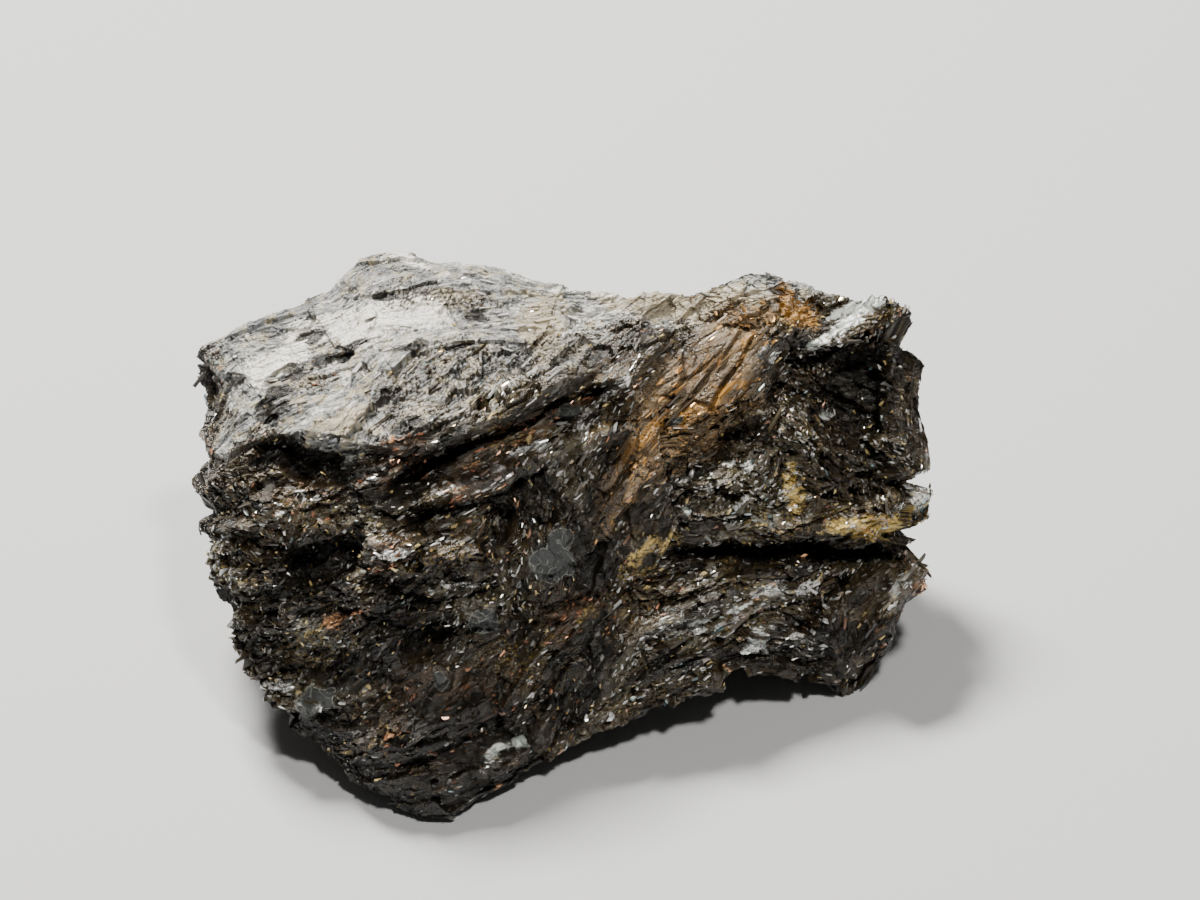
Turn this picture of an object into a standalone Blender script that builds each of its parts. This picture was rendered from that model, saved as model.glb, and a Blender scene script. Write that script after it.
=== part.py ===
"""Nuummite: one rough, hand-sized piece of the dark amphibole rock, standing on its natural feet.

The piece is a single solid. Its main form is a loft of unlike cross-sections from the left end to
the right end. Sheaves of laths, ledges, clefts, hollows and ridges are pressed into that form, a
few large crystals with flat faces are fused to it, and the ground cuts its feet flat.

Lengths in the tables are millimetres, and everything that reaches Blender is metres.
Axes: +X to the right, +Y to the back, +Z up. The broken front slopes back as it rises, so what is
on it is placed in a "face view": across is +X, and rise is measured square to a line of sight
that comes down on the front at FACE_TILT above the horizon.
"""

import math

import bmesh
import bpy
import numpy as np
from mathutils import Matrix, Vector

MM = 0.001
STONE_LENGTH = 54.0  # the finished stone is scaled to this length along X
STONE_COLOUR = (0.045, 0.038, 0.03, 1.0)
STONE_ROUGHNESS = 0.42
STONE_METALLIC = 0.1

FACE_TILT = math.radians(42)
FACE_ACROSS = np.array([1.0, 0.0, 0.0])
FACE_RISE = np.array([0.0, math.sin(FACE_TILT), math.cos(FACE_TILT)])
FACE_OUT = np.array([0.0, -math.cos(FACE_TILT), math.sin(FACE_TILT)])

# Cross-sections: x, then (y, z) of the back edge of the top, the front edge of the top, the foot of
# the front and the heel of the back, then how far the front, the top, the back and the underside
# bulge outwards.
SECTIONS = {
    "left tip": (-25.9, (8.8, 21.0), (0.6, 18.9), (-1.0, 12.5), (8.0, 11.0), 0.6, 0.3, 1.0, 0.5),
    "left end": (-24.5, (9.8, 22.6), (-1.4, 20.5), (-4.2, 9.6), (9.5, 6.0), 1.0, 0.4, 1.8, 0.5),
    "left shoulder": (-22.0, (10.4, 24.0), (-2.1, 21.7), (-9.8, 6.2), (11.0, 2.0), 1.2, 0.5, 2.6, -0.5),
    "left flank": (-17.3, (12.0, 25.0), (-3.1, 23.2), (-12.4, 2.8), (12.0, -0.6), 1.6, 0.6, 3.2, -1.0),
    "high corner": (-13.4, (14.9, 26.6), (-4.0, 24.2), (-15.4, 0.6), (12.6, -0.8), 1.4, 0.2, 2.4, -1.2),
    "lobe": (-9.1, (14.0, 26.3), (-3.9, 24.6), (-17.0, -0.3), (12.4, -0.8), 1.0, 0.2, 2.6, -1.4),
    "lobe right": (-4.7, (13.4, 26.0), (-3.1, 24.7), (-15.4, 0.3), (12.0, -0.7), 0.8, 0.2, 3.0, -1.6),
    "waist": (-0.3, (12.9, 25.1), (0.2, 24.4), (-13.2, 1.8), (11.6, -0.6), 0.8, 0.1, 3.2, -1.8),
    "arch left": (4.2, (12.7, 24.2), (4.2, 23.7), (-11.2, 3.0), (11.2, -0.6), 1.6, 0.0, 3.4, -1.6),
    "arch": (9.4, (12.8, 24.3), (6.2, 24.2), (-9.2, 4.2), (11.4, -0.6), 2.2, 0.0, 3.2, -1.4),
    "right peak": (13.6, (13.2, 26.8), (7.4, 25.4), (-6.8, 4.8), (11.6, -0.6), 2.0, 0.2, 3.0, -1.2),
    "right flank": (18.3, (12.4, 24.2), (6.6, 23.8), (-5.6, 1.8), (11.4, -0.6), 1.6, 0.1, 2.6, -1.0),
    "right foot": (21.6, (12.3, 24.0), (7.6, 23.0), (-4.5, -0.4), (10.6, -0.4), 1.2, 0.1, 2.4, -0.6),
    "right end": (24.2, (12.2, 23.8), (8.4, 22.2), (-3.2, 5.6), (9.6, 3.0), 1.0, 0.0, 1.6, 0.2),
    "right tip": (26.0, (11.4, 20.0), (7.4, 17.0), (0.6, 8.4), (8.4, 7.0), 0.2, 0.0, 0.6, 0.2),
}
LEFT_POLE = (-26.8, 5.5, 15.5)
RIGHT_POLE = (27.0, 6.5, 13.0)
SIDE_SHARES = (0.29, 0.18, 0.26, 0.27)  # front, top, back and underside of one turn round a section
POINTS_PER_SIDE = 3
GRID_ALONG = 230
GRID_ROUND = 280
NORMAL_SMOOTHING = 6
POLE_CALM = 12  # rows of the grid over which the relief dies away towards a pole

# Overall roughness: the size and height of each kind of lump, and the depth of skin that is lost.
LUMPS = ((6.0, 0.5), (2.6, 0.4))
SKIN_LOSS = 0.45

# Sheaves of parallel laths on the front and the top: across and rise of the middle, turn of the
# laths in degrees, length and width of a lath, and how far neighbours stand apart.
SHEAVES = {
    "top left": (-20.0, 19.5, 18, 7.0, 1.6, 0.35),
    "top middle": (-11.0, 22.5, 22, 8.0, 1.5, 0.35),
    "top back": (-3.0, 26.0, 8, 7.0, 1.5, 0.3),
    "top right": (5.0, 24.5, 14, 6.0, 1.4, 0.4),
    "upper step": (-3.5, 18.8, 30, 7.0, 1.7, 0.75),
    "lower step": (-4.5, 13.6, 24, 6.0, 1.6, 0.7),
    "bronze band": (11.5, 21.5, 52, 12.0, 1.9, 0.45),
    "bronze foot": (4.2, 13.0, 58, 8.0, 1.6, 0.5),
    "left brow": (-21.5, 12.5, 38, 4.0, 1.6, 0.8),
    "left cheek": (-22.0, 5.0, -15, 4.5, 1.7, 0.8),
    "left lobe": (-15.5, -2.0, 22, 6.0, 1.5, 0.6),
    "low lobe": (-8.5, -8.5, 16, 7.0, 1.4, 0.5),
    "belly": (-11.5, 5.0, 70, 4.0, 1.7, 0.75),
    "middle": (-1.0, 5.0, 64, 5.0, 1.7, 0.7),
    "middle low": (3.5, -1.5, 66, 6.0, 1.4, 0.55),
    "right hollow": (20.5, 18.0, 35, 4.0, 1.8, 0.8),
    "right middle": (12.5, 12.5, 28, 5.0, 1.6, 0.7),
    "right ledge": (19.0, 8.5, 14, 6.0, 1.4, 0.7),
    "right ridges": (10.5, 3.0, 24, 7.0, 1.6, 0.7),
    "right prong": (22.5, 2.0, 50, 6.0, 1.5, 0.6),
}

# Sheaves of the sides that the face view doesn't reach: middle, direction of the laths, then length,
# width and step as above.
HIDDEN_SHEAVES = {
    "back left": ((-16.0, 14.0, 12.0), (0.9, 0.0, 0.35), 8.0, 1.9, 0.5),
    "back middle": ((0.0, 15.0, 12.0), (0.9, 0.0, 0.3), 8.0, 1.8, 0.55),
    "back right": ((16.0, 14.0, 12.0), (0.8, 0.0, 0.5), 7.0, 1.9, 0.55),
    "underside": ((0.0, 2.0, 0.0), (0.9, 0.3, 0.0), 7.0, 2.0, 0.5),
    "left side": ((-27.0, 5.0, 14.0), (0.0, 0.8, 0.5), 5.0, 1.8, 0.6),
    "right side": ((27.0, 6.0, 12.0), (0.0, 0.8, 0.4), 5.0, 1.8, 0.6),
}

BORDER_WANDER = 1.6  # how far the border between two sheaves strays
LATH_WANDER = 0.35  # how far the sides of a lath stray
WANDER_SIZE = 7.0
LATH_DEPTH = 2.2  # thickness of a lath, in widths
LATH_LEAN = 1.2  # tilt across a lath, as a share of its sheaf's step

# Ledges: a line across the face from one (across, rise) to another. What is above it stands out
# over what is below it by the depth, and the step dies away over the reach below.
LEDGES = {
    "brow left": ((-27.0, 14.2), (-20.0, 16.0), 0.7, 5.0),
    "brow": ((-20.0, 15.4), (-10.5, 14.6), 1.1, 5.0),
    "upper step": ((-11.0, 13.4), (3.0, 19.6), 2.4, 4.5),
    "lower step": ((-10.5, 9.8), (4.0, 14.6), 1.2, 3.5),
    "bronze edge": ((4.6, 10.8), (14.6, 20.6), 1.3, 4.5),
    "crust lip": ((16.8, 22.0), (24.6, 24.6), 2.6, 6.5),
    "right shelf": ((10.5, 8.4), (24.6, 9.3), 1.9, 3.5),
    "middle shelf": ((-6.5, 1.6), (5.5, 4.0), 1.0, 3.0),
    "cheek": ((-26.5, 3.4), (-16.0, 0.4), 1.0, 4.0),
    "ridge foot": ((4.0, -2.4), (17.8, 4.6), 1.2, 3.5),
    "lobe fold": ((-20.0, -4.0), (-6.0, -1.0), 0.8, 3.0),
}

# Clefts: the ends, half the width and the depth.
CLEFTS = {
    "upper step": ((-9.9, 13.6), (2.4, 19.4), 0.9, 1.3),
    "band crack": ((2.2, 10.6), (12.6, 23.0), 0.35, 0.6),
    "band edge crack": ((5.4, 14.6), (14.4, 23.0), 0.35, 0.6),
    "shelf": ((8.4, 8.2), (17.8, 8.5), 0.7, 1.6),
    "shelf right": ((17.8, 8.5), (24.8, 9.0), 0.9, 2.4),
    "prong": ((17.4, 2.0), (24.0, 8.0), 0.5, 1.2),
    "waist": ((-3.2, 15.0), (-2.0, -2.0), 0.6, 0.6),
}

# Ridges: the ends, half the width and the height.
RIDGES = {
    "lath block": ((-7.0, 16.6), (1.6, 20.8), 1.4, 1.0),
    "dark spine": ((1.0, 17.4), (7.4, 23.2), 1.1, 1.0),
    "upper ridge": ((4.4, 1.2), (17.4, 7.2), 1.2, 1.2),
    "lower ridge": ((6.4, -1.6), (16.0, 2.8), 1.1, 1.0),
    "prong ridge": ((20.6, -1.6), (26.4, 5.6), 1.5, 1.6),
    "prong": ((20.0, 9.6), (26.6, 11.8), 1.0, 1.4),
    "lobe ridge": ((-14.6, -6.2), (-5.0, -3.2), 1.4, 0.9),
}

# Hollows: middle, half length, half width, turn in degrees and depth.
HOLLOWS = {
    "cavity": (-17.4, 6.8, 2.6, 2.0, 50, 3.0),
    "under the brow": (-17.6, 13.6, 3.2, 1.3, -10, 1.2),
    "under the crust": (21.2, 18.6, 4.2, 3.4, 62, 2.6),
    "beside the flake": (-4.6, 9.6, 2.0, 1.2, 60, 1.6),
    "right of the band": (13.4, 15.4, 2.6, 1.8, 30, 1.5),
    "left cheek": (-23.0, 0.4, 2.0, 1.4, 20, 1.4),
    "over the lobe": (-9.2, 1.4, 2.4, 1.6, 30, 1.6),
    "low middle": (1.6, -3.6, 2.2, 1.2, 50, 1.0),
    "right low": (14.6, -0.4, 2.0, 1.1, 10, 1.2),
    "foot": (19.6, 4.6, 1.8, 1.2, 40, 1.5),
    "pit 1": (-16.2, 22.0, 1.1, 0.5, 20, 0.9),
    "pit 2": (-20.3, 20.6, 1.3, 0.8, 30, 0.9),
    "pit 3": (-21.4, 18.3, 1.0, 0.7, 10, 0.8),
    "pit 4": (-20.6, 17.2, 0.8, 0.5, 40, 0.7),
}

# Bites out of the two ends: the side, the rise of the middle, half the height and the depth.
BITES = {
    "left high": (-1, 20.2, 0.8, 0.7),
    "left upper": (-1, 15.4, 1.4, 1.0),
    "left middle": (-1, 10.8, 0.9, 1.2),
    "left low": (-1, 8.5, 0.7, 0.9),
    "right high": (1, 23.4, 1.5, 1.5),
    "over the prong": (1, 12.6, 0.8, 2.4),
    "under the prong": (1, 9.2, 1.2, 3.2),
    "over the low prong": (1, 7.0, 0.6, 1.6),
}
BITE_FROM = 21.0  # distance from the middle of the stone at which a bite starts to deepen
BITE_REACH = 6.0

LEDGE_EDGE = 0.5
LEDGE_FADE = 1.5
CLEFT_FADE = 1.0
RIDGE_FADE = 1.2
RIDGE_STEEPNESS = 1.4  # over 1, the crest of a ridge is flat
BITE_STEEPNESS = 1.3
HOLLOW_STEEPNESS = 1.6
RELIEF_WANDER = 0.5
RELIEF_WANDER_SIZE = 3.0

# Crystals with flat faces: across and rise of the middle, turn in degrees, how steeply it leans out
# of the face, roll about its own length, then length, width and thickness, and how far its middle
# stands out of the face.
CRYSTALS = {
    "grey plate": (-0.9, 7.4, 78, 6, 0, 3.5, 2.8, 1.6, 0.4),
    "grey plate 2": (-5.4, 3.2, 60, 0, 10, 3.0, 2.4, 1.2, 0.3),
    "grey plate 3": (0.4, 18.0, 50, 6, 20, 4.2, 1.8, 1.4, 0.5),
    "grey plate 4": (-17.6, -2.6, 30, 0, 0, 2.4, 2.0, 1.2, 0.3),
    "lath block": (-1.4, 19.4, 31, 2, 24, 5.2, 2.0, 1.8, 0.3),
    "lath block 2": (-5.8, 16.8, 27, 2, 10, 4.4, 1.6, 1.4, 0.2),
    "lath under": (0.0, 14.6, 22, 0, 30, 4.2, 1.2, 1.2, 0.0),
    "band plate": (11.4, 21.0, 52, 0, 0, 8.4, 3.8, 1.2, 0.3),
    "band plate 2": (8.0, 17.0, 55, 2, 6, 7.0, 2.8, 1.2, 0.2),
    "band plate 3": (5.0, 13.6, 57, 0, -6, 5.0, 2.0, 1.0, 0.0),
    "dark spine": (5.6, 21.0, 44, 4, 25, 5.0, 1.4, 1.5, 0.2),
    "right prong": (24.4, 10.5, 27, 6, 30, 5.0, 2.0, 1.6, 0.2),
    "low prong": (23.8, 3.0, 50, 6, 30, 6.4, 2.2, 1.8, 0.3),
    "low prong 2": (21.4, 2.0, 52, 0, 0, 5.0, 1.6, 1.4, 0.0),
    "crust": (20.6, 24.2, 24, 4, 0, 4.6, 1.6, 1.2, 0.0),
    "crust 2": (18.4, 22.2, 66, 4, 0, 2.6, 1.4, 1.2, 0.2),
    "right shard": (25.0, 24.0, 60, 0, 30, 2.2, 1.2, 1.2, 0.0),
    "ridge lath": (8.6, 3.4, 25, 2, 20, 4.4, 1.4, 1.2, 0.1),
    "ridge lath 2": (14.2, 5.8, 22, 2, 10, 4.2, 1.3, 1.2, 0.1),
    "glint block": (13.9, -0.2, 20, 4, 0, 2.0, 1.4, 1.0, 0.3),
    "left shard": (-25.8, 9.6, 80, 0, 20, 1.8, 1.3, 1.2, -0.3),
    "left shard 2": (-26.0, 21.8, 110, 0, 20, 2.8, 1.3, 1.2, 0.1),
    "lobe lath": (-10.4, -5.0, 18, 0, 10, 4.0, 1.4, 1.2, 0.0),
    "cheek lath": (-22.0, 9.8, 40, 0, 20, 3.0, 1.4, 1.2, 0.0),
}
CRYSTAL_SEED = 7
CRYSTAL_TAPER = (0.68, 1.0)  # width of the far end as a share of the near end
CRYSTAL_CUT = 0.3  # how far aslant an end is cut, as a share of the length
HEXAGON_STRETCH = 1.1

SKIN_GRAIN = 0.3
BODY_TRIANGLES = 7400
GROUND_SIZE = 200.0
GROUND_DEPTH = 20.0


def catmull(rows, t):
    """Values at t on the smooth curve through evenly numbered rows, which are clamped at the ends."""
    last = len(rows) - 1
    i = np.clip(np.floor(t).astype(int), 0, last - 1)
    f = (t - i).reshape(-1, *([1] * (rows.ndim - 1)))
    p0, p1, p2, p3 = (rows[np.clip(i + k, 0, last)] for k in (-1, 0, 1, 2))
    return p1 + 0.5 * f * (p2 - p0 + f * (2 * p0 - 5 * p1 + 4 * p2 - p3 + f * (3 * (p1 - p2) + p3 - p0)))


def section_ring(top_back, top_front, foot, heel, bulges):
    """Control points of one section, from the foot up the front, over the top and down the back."""
    corners = [np.array(c, float) for c in (foot, top_front, top_back, heel)]
    ring = []
    for side, bulge in enumerate(bulges):
        start, end = corners[side], corners[(side + 1) % 4]
        run = end - start
        outward = np.array([-run[1], run[0]]) / max(np.linalg.norm(run), 1e-6)
        for k in range(POINTS_PER_SIDE):
            share = k / POINTS_PER_SIDE
            ring.append(start + run * share + outward * bulge * math.sin(math.pi * share))
    return np.array(ring)


def loft(along, around):
    """Grid of points on the loft, rows from the left pole to the right pole, columns round a turn."""
    rings, xs = [], []
    for x, top_back, top_front, foot, heel, *bulges in SECTIONS.values():
        rings.append(section_ring(top_back, top_front, foot, heel, bulges))
        xs.append(x)
    side_knots = np.concatenate([[0.0], np.cumsum(SIDE_SHARES)])
    turn = np.arange(around) / around
    knot = np.interp(turn, side_knots, np.arange(5) * POINTS_PER_SIDE)
    smooth = []
    for ring in rings:
        closed = np.vstack([ring[-2:], ring, ring[:3]])
        smooth.append(catmull(closed, knot + 2))
    smooth = np.array(smooth)
    rows = np.concatenate([np.repeat(np.array(xs)[:, None, None], around, 1), smooth], axis=2)
    poles = [np.tile(np.array(p), (1, around, 1)) for p in (LEFT_POLE, RIGHT_POLE)]
    rows = np.concatenate([poles[0], rows, poles[1]])
    fine = catmull(rows, np.linspace(0, len(rows) - 1, along * 4))
    step = np.linalg.norm(np.diff(fine, axis=0), axis=2).mean(axis=1)
    length = np.concatenate([[0.0], np.cumsum(step)])
    at = np.interp(np.linspace(0, length[-1], along), length, np.linspace(0, len(rows) - 1, along * 4))
    return catmull(rows, at)


def grid_normals(grid):
    """Outward direction at each point of the grid, averaged over a few neighbours."""
    along = np.gradient(grid, axis=0)
    around = np.roll(grid, -1, axis=1) - np.roll(grid, 1, axis=1)
    normal = np.cross(along, around)
    for _ in range(NORMAL_SMOOTHING):
        normal = normal + np.roll(normal, 1, axis=1) + np.roll(normal, -1, axis=1)
        normal[1:-1] += normal[:-2] + normal[2:]
    normal[0], normal[-1] = (-1, 0, 0), (1, 0, 0)
    return normal / np.linalg.norm(normal, axis=2, keepdims=True)


def hashed(*cells):
    """A number from 0 to 1 for each cell of a lattice, the same on every run."""
    mix = sum(c.astype(np.int64) * k for c, k in zip(cells, (73856093, 19349663, 83492791, 2971215073)))
    mix = (mix ^ (mix >> 13)) * 1274126177
    mix = (mix ^ (mix >> 16)) & 0xFFFFFF
    return mix / float(0xFFFFFF)


def lumps(points, size, seed):
    """Smooth noise from -1 to 1 with lumps of about the given size."""
    p = points / size
    cell = np.floor(p).astype(int)
    f = p - cell
    f = f * f * (3 - 2 * f)
    total = np.zeros(p.shape[:-1])
    for corner in range(8):
        offset = np.array([corner & 1, corner >> 1 & 1, corner >> 2])
        share = np.prod(np.where(offset, f, 1 - f), axis=-1)
        c = cell + offset
        total += share * hashed(c[..., 0], c[..., 1], c[..., 2], np.full(c.shape[:-1], seed))
    return 2 * total - 1


def face_coordinates(points):
    return points @ FACE_ACROSS, points @ FACE_RISE


def face_point(grid, normals, across, rise):
    """Index of the point of the grid that the face view shows at this across and rise."""
    a, r = face_coordinates(grid)
    hidden = normals @ FACE_OUT < 0.1
    return np.unravel_index(np.argmin((a - across) ** 2 + (r - rise) ** 2 + 1e6 * hidden), a.shape)


def lying_along(out, turn):
    """Direction that lies in the surface facing out, and has this turn in the face view."""
    turn = math.radians(turn)
    flat = math.cos(turn) * FACE_ACROSS + math.sin(turn) * FACE_RISE
    along = flat - FACE_OUT * (out @ flat) / (out @ FACE_OUT)
    return along / np.linalg.norm(along)


def placed_sheaves(grid, normals):
    """Middle, three axes and lath sizes of every sheaf, with the visible ones dropped on the surface."""
    placed = []
    for a, r, turn, *lath in SHEAVES.values():
        at = face_point(grid, normals, a, r)
        placed.append((grid[at], lying_along(normals[at], turn), normals[at], lath))
    for middle, along, *lath in HIDDEN_SHEAVES.values():
        middle, along = np.array(middle), np.array(along)
        gap = np.linalg.norm(grid - middle, axis=2)
        out = normals[np.unravel_index(np.argmin(gap), gap.shape)]
        along = along - out * (out @ along)
        placed.append((middle, along / np.linalg.norm(along), out, lath))
    return placed


def wander(points, size, seeds):
    """A smooth sideways drift at each point, one run of lumps for each axis."""
    return np.stack([lumps(points, size, seed) for seed in seeds], axis=-1)


def lath_heights(grid, normals):
    """How far each point stands out because of the lath it is on: steps between laths, tilts across them."""
    drift = wander(grid, WANDER_SIZE, (11, 12, 13))
    placed = placed_sheaves(grid, normals)
    gaps = [np.linalg.norm(grid + BORDER_WANDER * drift - sheaf[0], axis=2) for sheaf in placed]
    nearest = np.argmin(np.stack(gaps), axis=0)
    height = np.zeros(grid.shape[:2])
    for number, (middle, along, out, (length, width, step)) in enumerate(placed):
        mine = nearest == number
        local = grid[mine] - middle + LATH_WANDER * drift[mine]
        beside = local @ np.cross(out, along) / width
        row, deep = np.floor(beside), np.floor(local @ out / (LATH_DEPTH * width))
        sheaf = np.full(row.shape, number)
        place = np.floor(local @ along / length + hashed(row, deep, sheaf, sheaf))
        high = hashed(row, place, deep, sheaf)
        lean = hashed(place, row, deep, sheaf) - 0.5
        height[mine] = step * (2 * high - 1 + LATH_LEAN * lean * (beside - row - 0.5))
    return height


def from_line(across, rise, start, end):
    """Share of the way along a line, the distance above it, and its length."""
    start, end = np.array(start), np.array(end)
    run = end - start
    length = np.linalg.norm(run)
    along = ((across - start[0]) * run[0] + (rise - start[1]) * run[1]) / length**2
    above = (-(across - start[0]) * run[1] + (rise - start[1]) * run[0]) / length
    return along, above, length


def end_fade(along, length, fade):
    """1 between the ends of a line, falling to 0 over the fade beyond each."""
    over = np.maximum(np.maximum(-along, along - 1), 0) * length
    return np.clip(1 - over / fade, 0, 1)


def plateau(distance, steepness):
    """1 near the middle, falling in a straight line to 0 where the distance is 1."""
    return np.clip(steepness * (1 - distance), 0, 1)


def face_relief(across, rise):
    """Height, outwards along the line of sight, of the ledges, clefts, ridges and hollows."""
    height = np.zeros(across.shape)
    for start, end, drop, reach in LEDGES.values():
        along, above, length = from_line(across, rise, start, end)
        edge = np.clip(0.5 - above / LEDGE_EDGE, 0, 1)
        lasting = np.clip(1 + (above + LEDGE_EDGE / 2) / reach, 0, 1)
        height -= drop * edge * lasting * end_fade(along, length, LEDGE_FADE)
    for start, end, half, depth in CLEFTS.values():
        along, above, length = from_line(across, rise, start, end)
        height -= depth * plateau(np.abs(above) / half, 1) * end_fade(along, length, CLEFT_FADE)
    for start, end, half, high in RIDGES.values():
        along, above, length = from_line(across, rise, start, end)
        crest = plateau(np.abs(above) / half, RIDGE_STEEPNESS)
        height += high * crest * end_fade(along, length, RIDGE_FADE)
    for a, r, half_long, half_wide, turn, depth in HOLLOWS.values():
        c, s = math.cos(math.radians(turn)), math.sin(math.radians(turn))
        u = ((across - a) * c + (rise - r) * s) / half_long
        v = (-(across - a) * s + (rise - r) * c) / half_wide
        height -= depth * plateau(u**2 + v**2, HOLLOW_STEEPNESS)
    return height


def bitten(grid):
    """The grid with the bites taken out of its two ends."""
    rise = grid @ FACE_RISE
    for side, middle, half, depth in BITES.values():
        end = np.clip((side * grid[..., 0] - BITE_FROM) / BITE_REACH, 0, 1)
        grid[..., 0] -= side * depth * end * plateau(np.abs(rise - middle) / half, BITE_STEEPNESS)
    return grid


def worked_grid():
    """The loft with its lumps, laths, face relief and bites."""
    grid = loft(GRID_ALONG, GRID_ROUND)
    normals = grid_normals(grid)
    heights = lath_heights(grid, normals) - SKIN_LOSS
    for seed, (size, height) in enumerate(LUMPS, start=1):
        heights += height * lumps(grid, size, seed)
    rows = np.arange(GRID_ALONG)
    heights *= np.clip(np.minimum(rows, rows[::-1]) / POLE_CALM, 0, 1)[:, None]
    strayed = grid + RELIEF_WANDER * wander(grid, RELIEF_WANDER_SIZE, (3, 4, 5))
    shown = np.clip((normals @ FACE_OUT - 0.1) / 0.3, 0, 1)
    relief = face_relief(*face_coordinates(strayed)) * shown
    return bitten(grid + normals * heights[..., None] + FACE_OUT * relief[..., None])


def grid_mesh(name, grid):
    """A closed mesh from the loft's grid: its first and last rows are the two poles."""
    along, around = grid.shape[:2]
    points = np.vstack([grid[0, :1], grid[1:-1].reshape(-1, 3), grid[-1, :1]])
    last = len(points) - 1
    column = np.arange(around)
    beside = (column + 1) % around
    ring = 1 + np.arange(along - 2)[:, None] * around
    corners = [ring[:-1] + column, ring[1:] + column, ring[1:] + beside, ring[:-1] + beside]
    faces = np.stack(corners, axis=-1).reshape(-1, 4).tolist()
    faces += [(0, int(1 + a), int(1 + b)) for a, b in zip(column, beside)]
    start = int(ring[-1, 0])
    faces += [(last, start + int(b), start + int(a)) for a, b in zip(column, beside)]
    mesh = bpy.data.meshes.new(name)
    mesh.from_pydata(points.tolist(), [], faces)
    return mesh


def settled(obj):
    """Put the object's modifiers into its mesh, and leave none."""
    graph = bpy.context.evaluated_depsgraph_get()
    mesh = bpy.data.meshes.new_from_object(obj.evaluated_get(graph), depsgraph=graph)
    obj.modifiers.clear()
    old, obj.data = obj.data, mesh
    bpy.data.meshes.remove(old)
    obj.data.name = obj.name


def knitted(obj):
    """Rebuild the skin as one clean shell, so that no ledge runs through its neighbour."""
    knit = obj.modifiers.new("knit", "REMESH")
    knit.mode = "VOXEL"
    knit.voxel_size = SKIN_GRAIN * MM
    settled(obj)


def thinned(obj, triangles):
    """Collapse edges where the surface is flattest until about the given number of triangles is left."""
    obj.data.calc_loop_triangles()
    thin = obj.modifiers.new("thin", "DECIMATE")
    thin.ratio = triangles / len(obj.data.loop_triangles)
    thin.use_collapse_triangulate = True
    settled(obj)


def fill_sealed_gaps(obj):
    """Keep the outer shell only: a pit that a crystal has closed over becomes solid."""
    shape = bmesh.new()
    shape.from_mesh(obj.data)
    waiting, shells = set(shape.faces), []
    while waiting:
        front = [waiting.pop()]
        shell = set(front)
        while front:
            near = {f for edge in front.pop().edges for f in edge.link_faces} & waiting
            waiting -= near
            shell |= near
            front.extend(near)
        shells.append(shell)
    outer = max(shells, key=len)
    inner = [f for f in shape.faces if f not in outer]
    bmesh.ops.delete(shape, geom=inner, context="FACES")
    shape.to_mesh(obj.data)
    shape.free()


def crystal_mesh(name, length, width, thickness, chance):
    """A flattened six-sided prism along X that narrows a little, its ends cut aslant like a broken lath."""
    shape = bmesh.new()
    bmesh.ops.create_cone(
        shape,
        cap_ends=True,
        segments=6,
        radius1=0.5,
        radius2=0.5 * chance.uniform(*CRYSTAL_TAPER),
        depth=1.0,
        matrix=Matrix.Rotation(math.pi / 2, 4, "Y"),
    )
    cuts = chance.uniform(-CRYSTAL_CUT, CRYSTAL_CUT, (2, 2))
    size = Vector((length, width * HEXAGON_STRETCH, thickness * HEXAGON_STRETCH))
    for v in shape.verts:
        cut = cuts[int(v.co.x > 0)]
        v.co.x += cut[0] * v.co.y + cut[1] * v.co.z
        v.co *= size
    bmesh.ops.recalc_face_normals(shape, faces=shape.faces)
    mesh = bpy.data.meshes.new(name)
    shape.to_mesh(mesh)
    shape.free()
    return mesh


def placed_crystal(name, grid, normals, spec, chance):
    """One crystal dropped on the front or the top, lying along the surface there."""
    across, rise, turn, lean, roll, length, width, thickness, lift = spec
    at = face_point(grid, normals, across, rise)
    out = normals[at] + FACE_OUT
    out /= np.linalg.norm(out)
    along = lying_along(out, turn)
    axes = Matrix([along, np.cross(out, along), out]).transposed().to_4x4()
    turned = axes @ Matrix.Rotation(-math.radians(lean), 4, "Y") @ Matrix.Rotation(math.radians(roll), 4, "X")
    mesh = crystal_mesh(name, length * MM, width * MM, thickness * MM, chance)
    crystal = bpy.data.objects.new(name, mesh)
    crystal.matrix_world = Matrix.Translation(Vector((grid[at] + out * lift) * MM)) @ turned
    return crystal


def boolean(obj, other, operation):
    """Add a Boolean step. MANIFOLD, because EXACT loses the body where many of these crystals cross it."""
    step = obj.modifiers.new(other.name, "BOOLEAN")
    step.object = other
    step.operation = operation
    step.solver = "MANIFOLD"


def ground_block():
    """The block of ground under z = 0 that flattens the feet."""
    shape = bmesh.new()
    bmesh.ops.create_cube(shape, size=1.0)
    size = Vector((GROUND_SIZE, GROUND_SIZE, GROUND_DEPTH)) * MM
    bmesh.ops.scale(shape, vec=size, verts=shape.verts)
    bmesh.ops.translate(shape, vec=(0.0, 0.0, -size.z / 2), verts=shape.verts)
    mesh = bpy.data.meshes.new("ground")
    shape.to_mesh(mesh)
    shape.free()
    return bpy.data.objects.new("ground", mesh)


def stone_material():
    material = bpy.data.materials.new("nuummite")
    material.use_nodes = True
    shader = material.node_tree.nodes["Principled BSDF"]
    shader.inputs["Base Color"].default_value = STONE_COLOUR
    shader.inputs["Roughness"].default_value = STONE_ROUGHNESS
    shader.inputs["Metallic"].default_value = STONE_METALLIC
    material.diffuse_color = STONE_COLOUR
    return material


def sized_and_stood(obj):
    """Scale the stone to its length, and put its origin in the middle of the underside of its box."""
    corners = np.array([v.co for v in obj.data.vertices])
    low, high = corners.min(axis=0), corners.max(axis=0)
    base = Vector(((low[0] + high[0]) / 2, (low[1] + high[1]) / 2, low[2]))
    scale = STONE_LENGTH * MM / (high[0] - low[0])
    obj.data.transform(Matrix.Scale(scale, 4) @ Matrix.Translation(-base))


def new_collection(name):
    collection = bpy.data.collections.new(name)
    bpy.context.scene.collection.children.link(collection)
    return collection


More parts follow.
